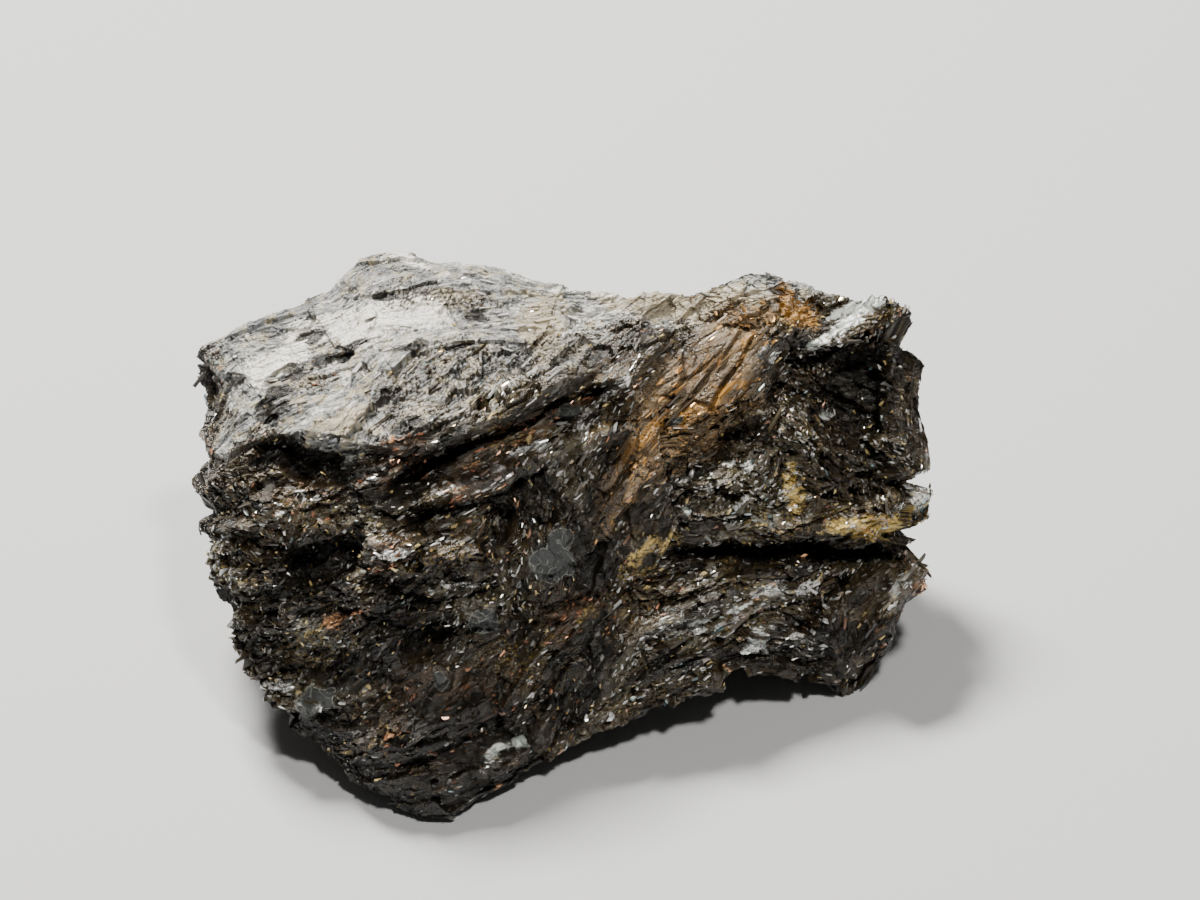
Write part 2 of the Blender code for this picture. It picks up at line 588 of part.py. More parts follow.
def main():
    for old in list(bpy.data.objects):
        bpy.data.objects.remove(old)
    grid = worked_grid()
    normals = grid_normals(grid)
    stone = bpy.data.objects.new("nuummite", grid_mesh("nuummite", grid * MM))
    new_collection("nuummite").objects.link(stone)
    knitted(stone)
    thinned(stone, BODY_TRIANGLES)

    chance = np.random.default_rng(CRYSTAL_SEED)
    crystals = [placed_crystal(name, grid, normals, spec, chance) for name, spec in CRYSTALS.items()]
    ground = ground_block()
    helpers = new_collection("nuummite helpers")
    for helper in (*crystals, ground):
        helpers.objects.link(helper)
        helper.hide_render = True
        helper.display_type = "WIRE"
        boolean(stone, helper, "DIFFERENCE" if helper == ground else "UNION")
    settled(stone)

    fill_sealed_gaps(stone)
    sized_and_stood(stone)
    stone.data.materials.clear()
    stone.data.materials.append(stone_material())


main()
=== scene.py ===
import math
import time

import bpy
import numpy as np
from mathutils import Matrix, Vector


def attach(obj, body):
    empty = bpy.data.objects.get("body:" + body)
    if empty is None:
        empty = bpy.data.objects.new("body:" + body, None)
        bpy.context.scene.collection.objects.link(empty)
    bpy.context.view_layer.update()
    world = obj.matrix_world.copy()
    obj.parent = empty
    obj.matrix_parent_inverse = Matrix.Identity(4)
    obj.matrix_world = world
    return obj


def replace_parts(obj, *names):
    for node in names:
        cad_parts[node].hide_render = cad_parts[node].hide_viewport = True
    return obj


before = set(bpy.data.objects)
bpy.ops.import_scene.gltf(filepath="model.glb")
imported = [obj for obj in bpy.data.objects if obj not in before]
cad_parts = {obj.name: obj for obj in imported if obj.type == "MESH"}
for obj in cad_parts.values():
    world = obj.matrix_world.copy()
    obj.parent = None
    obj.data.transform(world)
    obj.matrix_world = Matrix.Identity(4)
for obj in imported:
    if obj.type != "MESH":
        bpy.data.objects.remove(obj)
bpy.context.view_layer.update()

# Looks of the rough nuummite. The broken skin is worked out on one grid that goes round the stone,
# small laths and glinting faces stand out of it, and masks on its points say where each finish lies.
# Lengths are in millimetres until makeMesh, which turns them into metres.
mm = 0.001
started = time.time()


# the stage and the seconds since the start
def note(stage):
    print(f"[nuummite] {stage} ({time.time() - started:.1f} s)")


hashFactors = (73856093, 19349663, 83492791, 2971215073)
hashMixer = 1274126177
hashMost = 0xFFFFFF


# the same number from 0 to 1 for the same whole-numbered cell, by mixing the bits of its indices
def hashed(*cells):
    mix = sum(c.astype(np.int64) * k for c, k in zip(cells, hashFactors))
    mix = (mix ^ (mix >> 13)) * hashMixer
    return ((mix ^ (mix >> 16)) & hashMost) / float(hashMost)


# smooth noise from -1 to 1: hashed corners of a cube, blended by the smoothstep 3f^2 - 2f^3
def lumps(points, size, seed):
    p = points / size
    cell = np.floor(p).astype(int)
    f = p - cell
    f = f * f * (3 - 2 * f)
    total = np.zeros(p.shape[:-1])
    for corner in range(8):
        offset = np.array([corner & 1, corner >> 1 & 1, corner >> 2])
        share = np.prod(np.where(offset, f, 1 - f), axis=-1)
        c = cell + offset
        total += share * hashed(c[..., 0], c[..., 1], c[..., 2], np.full(c.shape[:-1], seed))
    return 2 * total - 1


# three runs of lumps side by side, as a sideways drift
def drift(points, size, seeds):
    return np.stack([lumps(points, size, seed) for seed in seeds], axis=-1)


# smoothstep from 0 at low to 1 at high
def ease(value, low, high):
    t = np.clip((value - low) / (high - low), 0, 1)
    return t * t * (3 - 2 * t)


# Catmull-Rom curve through evenly numbered rows, clamped at both ends
def catmull(rows, t):
    last = len(rows) - 1
    i = np.clip(np.floor(t).astype(int), 0, last - 1)
    f = (t - i).reshape(-1, *([1] * (rows.ndim - 1)))
    p0, p1, p2, p3 = (rows[np.clip(i + k, 0, last)] for k in (-1, 0, 1, 2))
    return p1 + 0.5 * f * (p2 - p0 + f * (2 * p0 - 5 * p1 + 4 * p2 - p3 + f * (3 * (p1 - p2) + p3 - p0)))


# each vector divided by its own length
def unit(v):
    return v / np.maximum(np.linalg.norm(v, axis=-1, keepdims=True), 1e-9)


# the products of two vectors' parts, added up
def dot(a, b):
    return np.sum(a * b, axis=-1)


# numpy corners and loops straight into a mesh, with one float attribute for each named mask
def makeMesh(name, points, faces, masks, material, smooth=False):
    mesh = bpy.data.meshes.new(name)
    sides = faces.shape[1]
    mesh.vertices.add(len(points))
    mesh.vertices.foreach_set("co", (points * mm).astype(np.float32).ravel())
    mesh.loops.add(faces.size)
    mesh.loops.foreach_set("vertex_index", faces.astype(np.int32).ravel())
    mesh.polygons.add(len(faces))
    mesh.polygons.foreach_set("loop_start", np.arange(0, faces.size, sides, dtype=np.int32))
    mesh.polygons.foreach_set("use_smooth", np.full(len(faces), smooth))
    mesh.update(calc_edges=True)
    for label, values in masks.items():
        kind = "FLOAT" if values.ndim == 1 else "FLOAT_VECTOR"
        layer = mesh.attributes.new(label, kind, "POINT")
        layer.data.foreach_set("value" if kind == "FLOAT" else "vector", values.astype(np.float32).ravel())
    mesh.materials.append(material)
    piece = bpy.data.objects.new(name, mesh)
    bpy.context.scene.collection.objects.link(piece)
    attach(piece, "root")
    note(f"{name}: {len(faces) * (sides - 2)} triangles")
    return piece


# the face view: across is +X, rise is square to a line of sight that comes down on the front
faceTilt = math.radians(42)
faceAcross = np.array([1.0, 0.0, 0.0])
faceRise = np.array([0.0, math.sin(faceTilt), math.cos(faceTilt)])
faceOut = np.array([0.0, -math.cos(faceTilt), math.sin(faceTilt)])

stone = {
    # x, then (y, z) of the top's back edge, the top's front edge, the foot of the front and the heel
    # of the back, then how far the front, top, back and underside bulge
    "sections": [
        (-25.9, (8.8, 21), (0.6, 18.9), (-1, 12.5), (8, 11), 0.6, 0.3, 1, 0.5),
        (-24.5, (9.8, 22.6), (-1.4, 20.5), (-4.2, 9.6), (9.5, 6), 1, 0.4, 1.8, 0.5),
        (-22, (10.4, 24), (-2.1, 21.7), (-9.8, 6.2), (11, 2), 1.2, 0.5, 2.6, -0.5),
        (-17.3, (12, 25), (-3.1, 23.2), (-12.4, 2.8), (12, -0.6), 1.6, 0.6, 3.2, -1),
        (-13.4, (14.9, 26.6), (-4, 24.2), (-15.4, 0.6), (12.6, -0.8), 1.4, 0.2, 2.4, -1.2),
        (-9.1, (14, 26.3), (-3.9, 24.6), (-17, -0.3), (12.4, -0.8), 1, 0.2, 2.6, -1.4),
        (-4.7, (13.4, 26), (-3.1, 24.7), (-15.4, 0.3), (12, -0.7), 0.8, 0.2, 3, -1.6),
        (-0.3, (12.9, 25.1), (0.2, 24.4), (-13.2, 1.8), (11.6, -0.6), 0.8, 0.1, 3.2, -1.8),
        (4.2, (12.7, 24.2), (4.2, 23.7), (-11.2, 3), (11.2, -0.6), 1.6, 0, 3.4, -1.6),
        (9.4, (12.8, 24.3), (6.2, 24.2), (-9.2, 4.2), (11.4, -0.6), 2.2, 0, 3.2, -1.4),
        (13.6, (13.2, 26.2), (7.4, 25.4), (-6.8, 4.8), (11.6, -0.6), 2, 0.2, 3, -1.2),
        (18.3, (12.4, 24.2), (6.6, 23.8), (-5.6, 1.8), (11.4, -0.6), 1.6, 0.1, 2.6, -1),
        (21.6, (12.3, 24), (7.6, 23), (-4.5, -0.4), (10.6, -0.4), 1.2, 0.1, 2.4, -0.6),
        (24.2, (12.2, 23.8), (8.4, 22.2), (-3.2, 5.6), (9.6, 3), 1, 0, 1.6, 0.2),
        (26, (11.4, 20), (7.4, 17), (0.6, 8.4), (8.4, 7), 0.2, 0, 0.6, 0.2),
    ],
    "leftPole": (-26.8, 5.5, 15.5),
    "rightPole": (27, 6.5, 13),
    "columns": (322, 138, 152, 108),  # of the front, top, back and underside: the front is the finest
    "along": 640,
    "poleCalm": 0.052,  # share of the length over which relief dies away at a pole
    "lumps": ((6, 0.5), (2.6, 0.4)),  # size, height
    "skinLoss": 0.45,
    "smoothRounds": 8,  # of averaging the normals
    "fineRounds": 3,
    "standAt": (0.013, 0.623, 0),  # from the grid's own zero to the frame's
    "core": (10, 10.5),  # y and z of a line inside the stone
    "coreEnds": (-20, 20),
}

# Sheaves of parallel laths: across, rise, turn, then length, width and step of the big laths,
# then scatter of the small laths in degrees and how fine they are
sheaves = {
    "topLeft": (-20, 19.8, 18, 7, 1.6, 0.22, 9, 1),
    "topLeftFoot": (-24, 17.4, 44, 4, 1.3, 0.24, 12, 0.9),
    "topMiddle": (-11, 24.4, 12, 8, 1.5, 0.2, 8, 1),
    "topFlank": (-9.2, 20, 40, 7, 1.4, 0.3, 8, 1),
    "topBack": (-3, 26.6, -5, 7, 1.5, 0.2, 9, 1),
    "topRight": (4.6, 24.2, 26, 6, 1.4, 0.26, 14, 0.9),
    "topPeak": (13.4, 27.4, 30, 4, 1.2, 0.3, 22, 0.8),
    "topEnd": (19.6, 25.6, 28, 4, 1.2, 0.3, 16, 0.8),
    "upperStep": (-3, 19, 33, 8, 1.5, 0.55, 5, 1.3),
    "spine": (4.4, 20.8, 46, 8, 1.3, 0.32, 5, 1.3),
    "lowerStep": (-5.5, 14.2, 28, 7, 1.3, 0.45, 6, 1.2),
    "stepFoot": (-9.8, 10, 17, 6, 1.2, 0.45, 10, 1),
    "bronzeBand": (11, 21, 47, 12, 2.4, 0.055, 4, 1.4),
    "bronzeFoot": (4.4, 12.6, 56, 8, 1.5, 0.3, 6, 1.1),
    "leftBrow": (-21.5, 12, 28, 4, 1.5, 0.6, 22, 0.8),
    "leftCheek": (-22, 5, 8, 4.5, 1.4, 0.6, 22, 0.75),
    "leftLobe": (-17, -0.6, 24, 6, 1.3, 0.5, 14, 0.8),
    "lobeFlank": (-8.6, -1.8, 34, 6, 1.2, 0.45, 12, 0.8),
    "lowLobe": (-8.5, -8.5, 18, 7, 1.2, 0.4, 9, 0.8),
    "cheekHollow": (-16.6, 8.6, 30, 4, 1.3, 0.5, 16, 0.75),
    "belly": (-10.5, 4.6, 12, 5, 1.3, 0.5, 20, 0.75),
    "middle": (-1, 8, 72, 5, 1.4, 0.5, 20, 0.85),
    "middleLow": (1, 0, 56, 6, 1.3, 0.45, 12, 0.9),
    "rightHollow": (19.5, 18, -27, 4, 1.4, 0.6, 24, 0.75),
    "rightCheek": (20.4, 13.4, -48, 4, 1.4, 0.6, 24, 0.75),
    "rightMiddle": (11.5, 13.6, 32, 5, 1.3, 0.5, 20, 0.8),
    "rightLedge": (19, 8.8, 20, 6, 1.3, 0.6, 12, 0.9),
    "crevice": (11, 6.6, 12, 6, 1.3, 0.5, 12, 0.9),
    "rightRidges": (11, 3.2, 18, 7, 1.3, 0.5, 10, 1),
    "rightFoot": (15, -0.4, -10, 5, 1.3, 0.5, 12, 0.9),
    "rightProng": (22.8, 2.4, 50, 7, 1.3, 0.45, 7, 1.1),
}

# sheaves round the back: middle, direction, then as above
hiddenSheaves = {
    "backLeft": ((-16, 14, 12), (0.9, 0, 0.35), 8, 1.9, 0.5, 9, 1.1),
    "backMiddle": ((0, 15, 12), (0.9, 0, 0.3), 8, 1.8, 0.55, 12, 1.1),
    "backRight": ((16, 14, 12), (0.8, 0, 0.5), 7, 1.9, 0.55, 14, 1),
    "underside": ((0, 2, 0), (0.9, 0.3, 0), 7, 2, 0.5, 18, 1),
    "leftSide": ((-27, 5, 14), (0, 0.8, 0.5), 5, 1.8, 0.6, 20, 0.9),
    "rightSide": ((27, 6, 12), (0, 0.8, 0.4), 5, 1.8, 0.6, 20, 0.9),
}

lathGrain = {
    "borderWander": 1.6,
    "sideWander": 0.35,
    "wanderSize": 7.0,
    "tremble": 0.16,
    "trembleSize": 0.9,
    "depth": 2.2,  # thickness in widths
    "lean": 1.3,
    "slant": 2.4,  # how far an end is cut aslant, in widths
    "middle": (0.42, 0.33, 0.3),  # length, width and step of the middle laths, as shares of the big ones
    "rods": ((3.6, 0.62, 0.13), (1.5, 0.27, 0.075)),  # length, width and height of the rods and of the fibres
    "rodCalm": (0.1, 1.15),  # least and most of that height, by the sheaf's step
    "rodStep": 0.42,
    "rodSharpness": 2.4,
    "grainTilt": 1.6,
    "domain": 3.2,  # patches inside a sheaf that turn by its own scatter
    "smallDomain": 1.2,
    "domainTurns": (3.2, 0.9),  # how far the two kinds of patch turn, in scatters
    "toneShares": (0.3, 0.35, 0.35, 0.1),  # of clump, lath and fibre, and what grains take from fibres
    "granular": (8, 26),  # scatters at which grains start to show and show fully
    "sheafApart": 17.0,  # keeps the coordinates of two sheaves apart
    # length, width, then height of the grains in calm sheaves and in scattered ones
    "grains": ((1.5, 0.8, 0.05, 0.3), (0.62, 0.36, 0.05, 0.15)),
}

glass = {
    "facet": 1.1,  # size of its broken faces
    "facetHeight": 0.2,
    "lift": 0.35,
}

relief = {
    # from, to, drop below the line, reach of the drop
    "ledges": [
        ((-27, 14.2), (-20, 16), 0.7, 5), ((-20, 15.4), (-10.5, 14.6), 1.1, 5),
        ((-11, 13.4), (3, 19.6), 2.4, 4.5), ((-10, 10.6), (4, 15.2), 1.3, 3.5),
        ((4.6, 10.8), (14.6, 20.6), 1.3, 4.5), ((16.8, 22), (24.6, 24.6), 2.6, 6.5),
        ((10.5, 8), (24.6, 8), 1.9, 3.5), ((-6.5, 1.8), (1.5, 3), 0.8, 3),
        ((-26.5, 3.4), (-16, 0.4), 1, 4), ((4, -2.4), (17.8, 4.6), 1.2, 3.5),
        ((-20, -4), (-12, -2.4), 0.8, 3), ((-12, 4.8), (-4.6, 5.2), 0.9, 2.4),
        ((-26, 5), (-20.9, 2.9), 0.8, 2.4), ((-23.7, -0.5), (-11.4, -1.3), 0.8, 2.4),
        ((-10.3, -6.6), (-1.8, -2.8), 1.1, 3), ((12, 16.4), (20, 14.6), 0.7, 2),
        ((9, 12.6), (17, 11), 0.6, 2), ((2, 4.4), (9, 6.4), 0.7, 2),
        ((-12.6, 11.2), (-3.4, 11.6), 0.5, 2),
    ],
    # from, to, half width, depth
    "clefts": [
        ((-9.9, 13.6), (2.4, 19.4), 0.8, 1.3), ((2.2, 10.6), (12.6, 23), 0.3, 0.4),
        ((10.3, 17.7), (13.7, 22.6), 0.25, 0.6), ((7.3, 18.9), (11, 21.9), 0.2, 0.35),
        ((7.1, 18.8), (10.4, 18.3), 0.2, 0.4), ((8.4, 7.7), (17.8, 7.5), 0.7, 1.7),
        ((17.8, 7.5), (24.8, 7.5), 0.8, 2.4), ((17.4, 2), (24, 8), 0.5, 1.2),
        ((-3.2, 15), (-2, -2), 0.6, 0.6),
    ],
    # from, to, half width, height
    "ridges": [
        ((-7, 16.6), (1.6, 20.8), 1.4, 1), ((1, 17.4), (7.4, 23.2), 1.1, 1),
        ((4.4, 1.2), (17.4, 7.2), 1.2, 1.2), ((6.4, -1.6), (16, 2.8), 1.1, 1),
        ((20.6, -1.6), (26.4, 5.6), 1.5, 1.6), ((20, 9.6), (26.6, 11.8), 1, 1.4),
        ((-14.6, -6.2), (-5, -3.2), 1.4, 0.9), ((-9.6, 11.7), (4, 16.4), 0.8, 0.9),
        ((17, 9), (24.4, 9.3), 1, 1),
    ],
    # across, rise, half length, half width, turn, depth
    "hollows": [
        (-17.2, 6.8, 3.3, 1.9, 24, 2.2), (-17.6, 13.6, 3.2, 1.3, -10, 1.2), (21.2, 18.6, 4.2, 3.4, 62, 2.6),
        (-4.6, 9.6, 2, 1.2, 60, 1.6), (13.4, 15.4, 2.6, 1.8, 30, 1.5), (-23, 0.4, 2, 1.4, 20, 1.4),
        (-9.2, 1.4, 2.4, 1.6, 30, 1.6), (1.6, -3.6, 2.2, 1.2, 50, 1), (14.6, -0.4, 2, 1.1, 10, 1.2),
        (19.6, 4.6, 1.8, 1.2, 40, 1.5), (-16.2, 22, 1.1, 0.5, 20, 0.9), (-20.3, 20.6, 1.3, 0.8, 30, 0.9),
        (-21.4, 18.3, 1, 0.7, 10, 0.8), (-20.6, 17.2, 0.8, 0.5, 40, 0.7),
    ],
    # across, rise, half length, half width, turn, height
    "mounds": [
        (-9.8, 7.4, 5.2, 1.9, -3, 0.9), (-20.6, 1.8, 4.2, 1.3, 4, 0.6), (-21, 10.6, 4, 1.6, 15, 0.7),
        (-8.6, -8.6, 6, 3.4, 10, 0.8), (-3.9, -6.9, 2.2, 1.8, 30, 0.7), (12.6, 13.4, 4.6, 1.6, 24, 0.7),
        (2, -1.4, 3.4, 3, 60, 0.6), (-14, 0.6, 3.6, 1.2, 8, 0.5), (-0.7, 7, 2.6, 2.2, 60, 0.5),
    ],
    # side, rise, half height, depth
    "bites": [
        (-1, 22, 2, -1.9), (-1, 17.6, 2.4, 0.9), (-1, 14.4, 2, 1), (-1, 10.8, 0.9, 1.2),
        (-1, 8.5, 0.7, 0.9), (1, 25.3, 1.2, -0.8), (1, 23, 1.4, 1.1), (1, 12.6, 0.8, 2.4),
        (1, 9, 1.1, 3), (1, 7.5, 0.6, 1.6), (1, 5.4, 1.7, -1.2),
    ],
    "ledgeEdge": 0.5,
    "ledgeFade": 1.5,
    "cleftFade": 1,
    "ridgeFade": 1.2,
    "crestWidth": 1.4,  # over 1, a crest is flat
    "bowlWidth": 1.6,  # over 1, a hollow has a flat floor
    "moundReach": 1.4,
    "biteFrom": 21,
    "biteReach": 6,
    "biteWander": 0.7,
    "biteWanderSize": 1.6,
    "biteWidth": 1.3,
    "wander": 0.5,
    "wanderSize": 3,
    "facesFrom": 0.1,  # how far a surface has to face the viewer to show, and for how much more it fades in
    "facesOver": 0.3,
}


# twelve control points of one section: each side is its straight run plus bulge * sin(pi * share)
def sectionRing(topBack, topFront, foot, heel, bulges):
    corners = [np.array(c, float) for c in (foot, topFront, topBack, heel)]
    ring = []
    for side, bulge in enumerate(bulges):
        start, end = corners[side], corners[(side + 1) % 4]
        run = end - start
        outward = np.array([-run[1], run[0]]) / max(np.linalg.norm(run), 1e-6)
        for share in (0, 1 / 3, 2 / 3):
            ring.append(start + run * share + outward * bulge * math.sin(math.pi * share))
    return np.array(ring)


# the loft as a function of (along, around): Catmull-Rom round each section, then from end to end,
# with rows spaced evenly by the mean distance travelled
def loftGrid(form):
    along, around = form["along"], sum(form["columns"])
    knot = np.interp(np.arange(around), np.cumsum((0, *form["columns"])), np.arange(5) * 3.0)
    rows = [np.tile(np.array(form["leftPole"]), (around, 1))]
    for x, topBack, topFront, foot, heel, *bulges in form["sections"]:
        ring = sectionRing(topBack, topFront, foot, heel, bulges)
        curve = catmull(np.vstack([ring[-2:], ring, ring[:3]]), knot + 2)
        rows.append(np.column_stack([np.full(around, x), curve]))
    rows.append(np.tile(np.array(form["rightPole"]), (around, 1)))
    rows = np.array(rows)
    t = np.linspace(0, len(rows) - 1, along * 4)
    step = np.linalg.norm(np.diff(catmull(rows, t), axis=0), axis=2).mean(axis=1)
    travelled = np.concatenate([[0.0], np.cumsum(step)])
    return catmull(rows, np.interp(np.linspace(0, travelled[-1], along), travelled, t))


# outward direction: the cross product of the grid's two tangents, averaged over near neighbours
def gridNormals(grid, rounds):
    along = np.gradient(grid, axis=0)
    around = np.roll(grid, -1, axis=1) - np.roll(grid, 1, axis=1)
    normal = np.cross(along, around)
    for _ in range(rounds):
        normal = normal + np.roll(normal, 1, axis=1) + np.roll(normal, -1, axis=1)
        normal[1:-1] += normal[:-2] + normal[2:]
    normal[0], normal[-1] = (-1, 0, 0), (1, 0, 0)
    return unit(normal)


# index of the point that the face view shows at this across and rise
def facePoint(grid, normals, across, rise):
    gap = (grid @ faceAcross - across) ** 2 + (grid @ faceRise - rise) ** 2
    hidden = normals @ faceOut < relief["facesFrom"]
    return np.unravel_index(np.argmin(gap + 1e6 * hidden), gap.shape)


# the direction that lies in the surface facing out and has this turn in the face view
def lyingAlong(out, turn):
    turn = math.radians(turn)
    flat = math.cos(turn) * faceAcross + math.sin(turn) * faceRise
    return unit(flat - faceOut * (out @ flat) / (out @ faceOut))


# middle, direction, outward normal and laths of each sheaf, by the point of the grid that it lies on
def placeSheaves(grid, normals):
    placed = []
    for across, rise, turn, *lath in sheaves.values():
        at = facePoint(grid, normals, across, rise)
        placed.append((grid[at], lyingAlong(normals[at], turn), normals[at], lath))
    for middle, along, *lath in hiddenSheaves.values():
        middle, along = np.array(middle), np.array(along)
        gap = np.linalg.norm(grid - middle, axis=2)
        out = normals[np.unravel_index(np.argmin(gap), gap.shape)]
        placed.append((middle, unit(along - out * (out @ along)), out, lath))
    return placed


# the nearest of one jittered seed for each cubic cell: its lot from 0 to 1, and the offset from it
def nearestSeed(points, size, seed):
    p = points / size
    base = np.floor(p).astype(int)
    best, lot, offset = np.full(p.shape[:-1], np.inf), np.zeros(p.shape[:-1]), np.zeros(p.shape)
    number = np.full(p.shape[:-1], seed)
    for shift in np.ndindex(3, 3, 3):
        cell = base + np.array(shift) - 1
        x, y, z = cell[..., 0], cell[..., 1], cell[..., 2]
        jitter = np.stack([hashed(x, y, z, number + k) for k in (1, 2, 3)], axis=-1)
        gap = p - cell - jitter
        far = dot(gap, gap)
        closer = far < best
        best = np.where(closer, far, best)
        lot = np.where(closer, hashed(x, y, z, number), lot)
        offset = np.where(closer[..., None], gap, offset)
    return lot, offset * size


# faceted grains: each seed's own height plus a slope of its own, dot(random tilt, offset)
def grainHeights(points, size, seed):
    lot, offset = nearestSeed(points, size, seed)
    number = (lot * 1e6).astype(int)
    tilt = np.stack([hashed(number, number + k) - 0.5 for k in (5, 6, 7)], axis=-1)
    return 0.5 * (2 * lot - 1) + lathGrain["grainTilt"] * dot(tilt, offset) / size, lot


# rounded rods with sharp grooves between them: the size of smooth noise that is drawn out lengthwise
def rodHeights(space, length, width, seed):
    return lathGrain["rodSharpness"] * np.abs(lumps(space / (length, width, width), 1.0, seed)) - 1


# height and lot of the brick that a place (along, beside, out) is in: each brick has a hashed height,
# and a hashed tilt across it
def brickHeights(a, b, o, length, width, number):
    beside = b / width
    row, deep = np.floor(beside), np.floor(o / (lathGrain["depth"] * width))
    sheaf = np.full(row.shape, number)
    slant = lathGrain["slant"] * (hashed(deep, sheaf, row, sheaf) - 0.5) * width
    place = np.floor((a + slant * (beside - row)) / length + hashed(row, deep, sheaf, sheaf))
    high = hashed(row, place, deep, sheaf)
    lean = hashed(place, row, deep, sheaf) - 0.5
    return 2 * high - 1 + lathGrain["lean"] * lean * (beside - row - 0.5), high


# laths, rods, fibres and grains at each point, with the sheaf's direction and coordinates. The small
# ones turn by an angle hashed for each domain, times the sheaf's scatter.
def lathField(grid, normals):
    g = lathGrain
    stray = drift(grid, g["wanderSize"], (11, 12, 13))
    tremble = drift(grid, g["trembleSize"], (14, 15, 16))
    placed = placeSheaves(grid, normals)
    gaps = [np.linalg.norm(grid + g["borderWander"] * stray - sheaf[0], axis=2) for sheaf in placed]
    nearest = np.argmin(np.stack(gaps), axis=0)
    domain = nearestSeed(grid + 0.5 * stray, g["domain"], 41)[0]
    smallDomain = nearestSeed(grid, g["smallDomain"], 51)[0]
    size = grid.shape[:2]
    field = {label: np.zeros(size) for label in ("height", "detail", "tone", "scatter", "fine", "rough")}
    field["direction"], field["lathSpace"] = np.zeros(grid.shape), np.zeros(grid.shape)
    most, least = g["domainTurns"]
    for number, (middle, along, out, (length, width, step, spread, fine)) in enumerate(placed):
        mine = nearest == number
        local = grid[mine] - middle + g["sideWander"] * stray[mine] + g["tremble"] * tremble[mine]
        a, b, o = local @ along, local @ np.cross(out, along), local @ out
        big, _ = brickHeights(a, b, o, length, width, number)
        turn = np.radians(spread) * (most * (domain[mine] - 0.5) + least * (smallDomain[mine] - 0.5))
        a, b = a * np.cos(turn) + b * np.sin(turn), b * np.cos(turn) - a * np.sin(turn)
        share, wide, low = g["middle"]
        mid, tone = brickHeights(a, b, o, length * share, width * wide, number + 60)
        field["height"][mine] = step * big
        field["detail"][mine] = step * low * mid
        field["tone"][mine] = tone
        aside = np.cross(out, along) * np.sin(turn)[:, None]
        field["direction"][mine] = unit(along * np.cos(turn)[:, None] + aside)
        field["lathSpace"][mine] = np.stack([a, b, o + g["sheafApart"] * number], axis=-1)
        field["scatter"][mine], field["fine"][mine] = spread, fine
        field["rough"][mine] = np.clip(step / g["rodStep"], *g["rodCalm"])
    space, granular = field["lathSpace"], ease(field["scatter"], *g["granular"])
    rods = [
        high * rodHeights(space, length, width, 81 + k)
        for k, (length, width, high) in enumerate(g["rods"])
    ]
    field["detail"] += field["rough"] * sum(rods)
    for number, (length, width, calm, rough) in enumerate(g["grains"]):
        high, lot = grainHeights(space / (length, width, width), 1.0, 61 + 10 * number)
        field["detail"] += (calm + (rough - calm) * granular) * high
        field["fleck" if number else "clump"] = lot
    fibre = 0.5 + 0.5 * np.clip(rods[-1] / g["rods"][-1][2], -1, 1)
    clump, lath, thread, shift = g["toneShares"]
    clump, thread = clump + shift * granular, thread - shift * granular
    field["tone"] = clump * field["clump"] + lath * field["tone"] + thread * fibre
    return field


# share along a line, distance above it, and its length
def fromLine(across, rise, start, end):
    start, end = np.array(start), np.array(end)
    run = end - start
    length = np.linalg.norm(run)
    along = ((across - start[0]) * run[0] + (rise - start[1]) * run[1]) / length**2
    above = (-(across - start[0]) * run[1] + (rise - start[1]) * run[0]) / length
    return along, above, length


# 1 between a line's ends, falling to 0 over the fade beyond each
def endFade(along, length, fade):
    over = np.maximum(np.maximum(-along, along - 1), 0) * length
    return np.clip(1 - over / fade, 0, 1)


# squared distance from an ellipse's middle, 1 on its edge
def inEllipse(across, rise, a, r, halfLong, halfWide, turn):
    c, s = math.cos(math.radians(turn)), math.sin(math.radians(turn))
    u = ((across - a) * c + (rise - r) * s) / halfLong
    v = (-(across - a) * s + (rise - r) * c) / halfWide
    return u**2 + v**2


# height towards the viewer: minus each ledge's drop below its line, minus V clefts, plus flat-topped
# ridges, minus bowl hollows, plus rounded mounds
def faceRelief(across, rise):
    height = np.zeros(across.shape)
    for start, end, drop, reach in relief["ledges"]:
        along, above, length = fromLine(across, rise, start, end)
        edge = np.clip(0.5 - above / relief["ledgeEdge"], 0, 1)
        lasting = np.clip(1 + (above + relief["ledgeEdge"] / 2) / reach, 0, 1)
        height -= drop * edge * lasting * endFade(along, length, relief["ledgeFade"])
    for start, end, half, depth in relief["clefts"]:
        along, above, length = fromLine(across, rise, start, end)
        wedge = np.clip(1 - np.abs(above) / half, 0, 1)
        height -= depth * wedge * endFade(along, length, relief["cleftFade"])
    for start, end, half, high in relief["ridges"]:
        along, above, length = fromLine(across, rise, start, end)
        crest = np.clip(relief["crestWidth"] * (1 - np.abs(above) / half), 0, 1)
        height += high * crest * endFade(along, length, relief["ridgeFade"])
    for *spot, depth in relief["hollows"]:
        height -= depth * np.clip(relief["bowlWidth"] * (1 - inEllipse(across, rise, *spot)), 0, 1)
    for *spot, high in relief["mounds"]:
        height += high * (1 - ease(inEllipse(across, rise, *spot), 0, relief["moundReach"]))
    return height


# bites: x moves inwards by depth * (1 - |rise - middle| / half) near an end
def bitten(grid):
    rise = grid @ faceRise + relief["biteWander"] * lumps(grid, relief["biteWanderSize"], 6)
    for side, middle, half, depth in relief["bites"]:
        end = np.clip((side * grid[..., 0] - relief["biteFrom"]) / relief["biteReach"], 0, 1)
        notch = np.clip(relief["biteWidth"] * (1 - np.abs(rise - middle) / half), 0, 1)
        grid[..., 0] -= side * depth * end * notch
    return grid


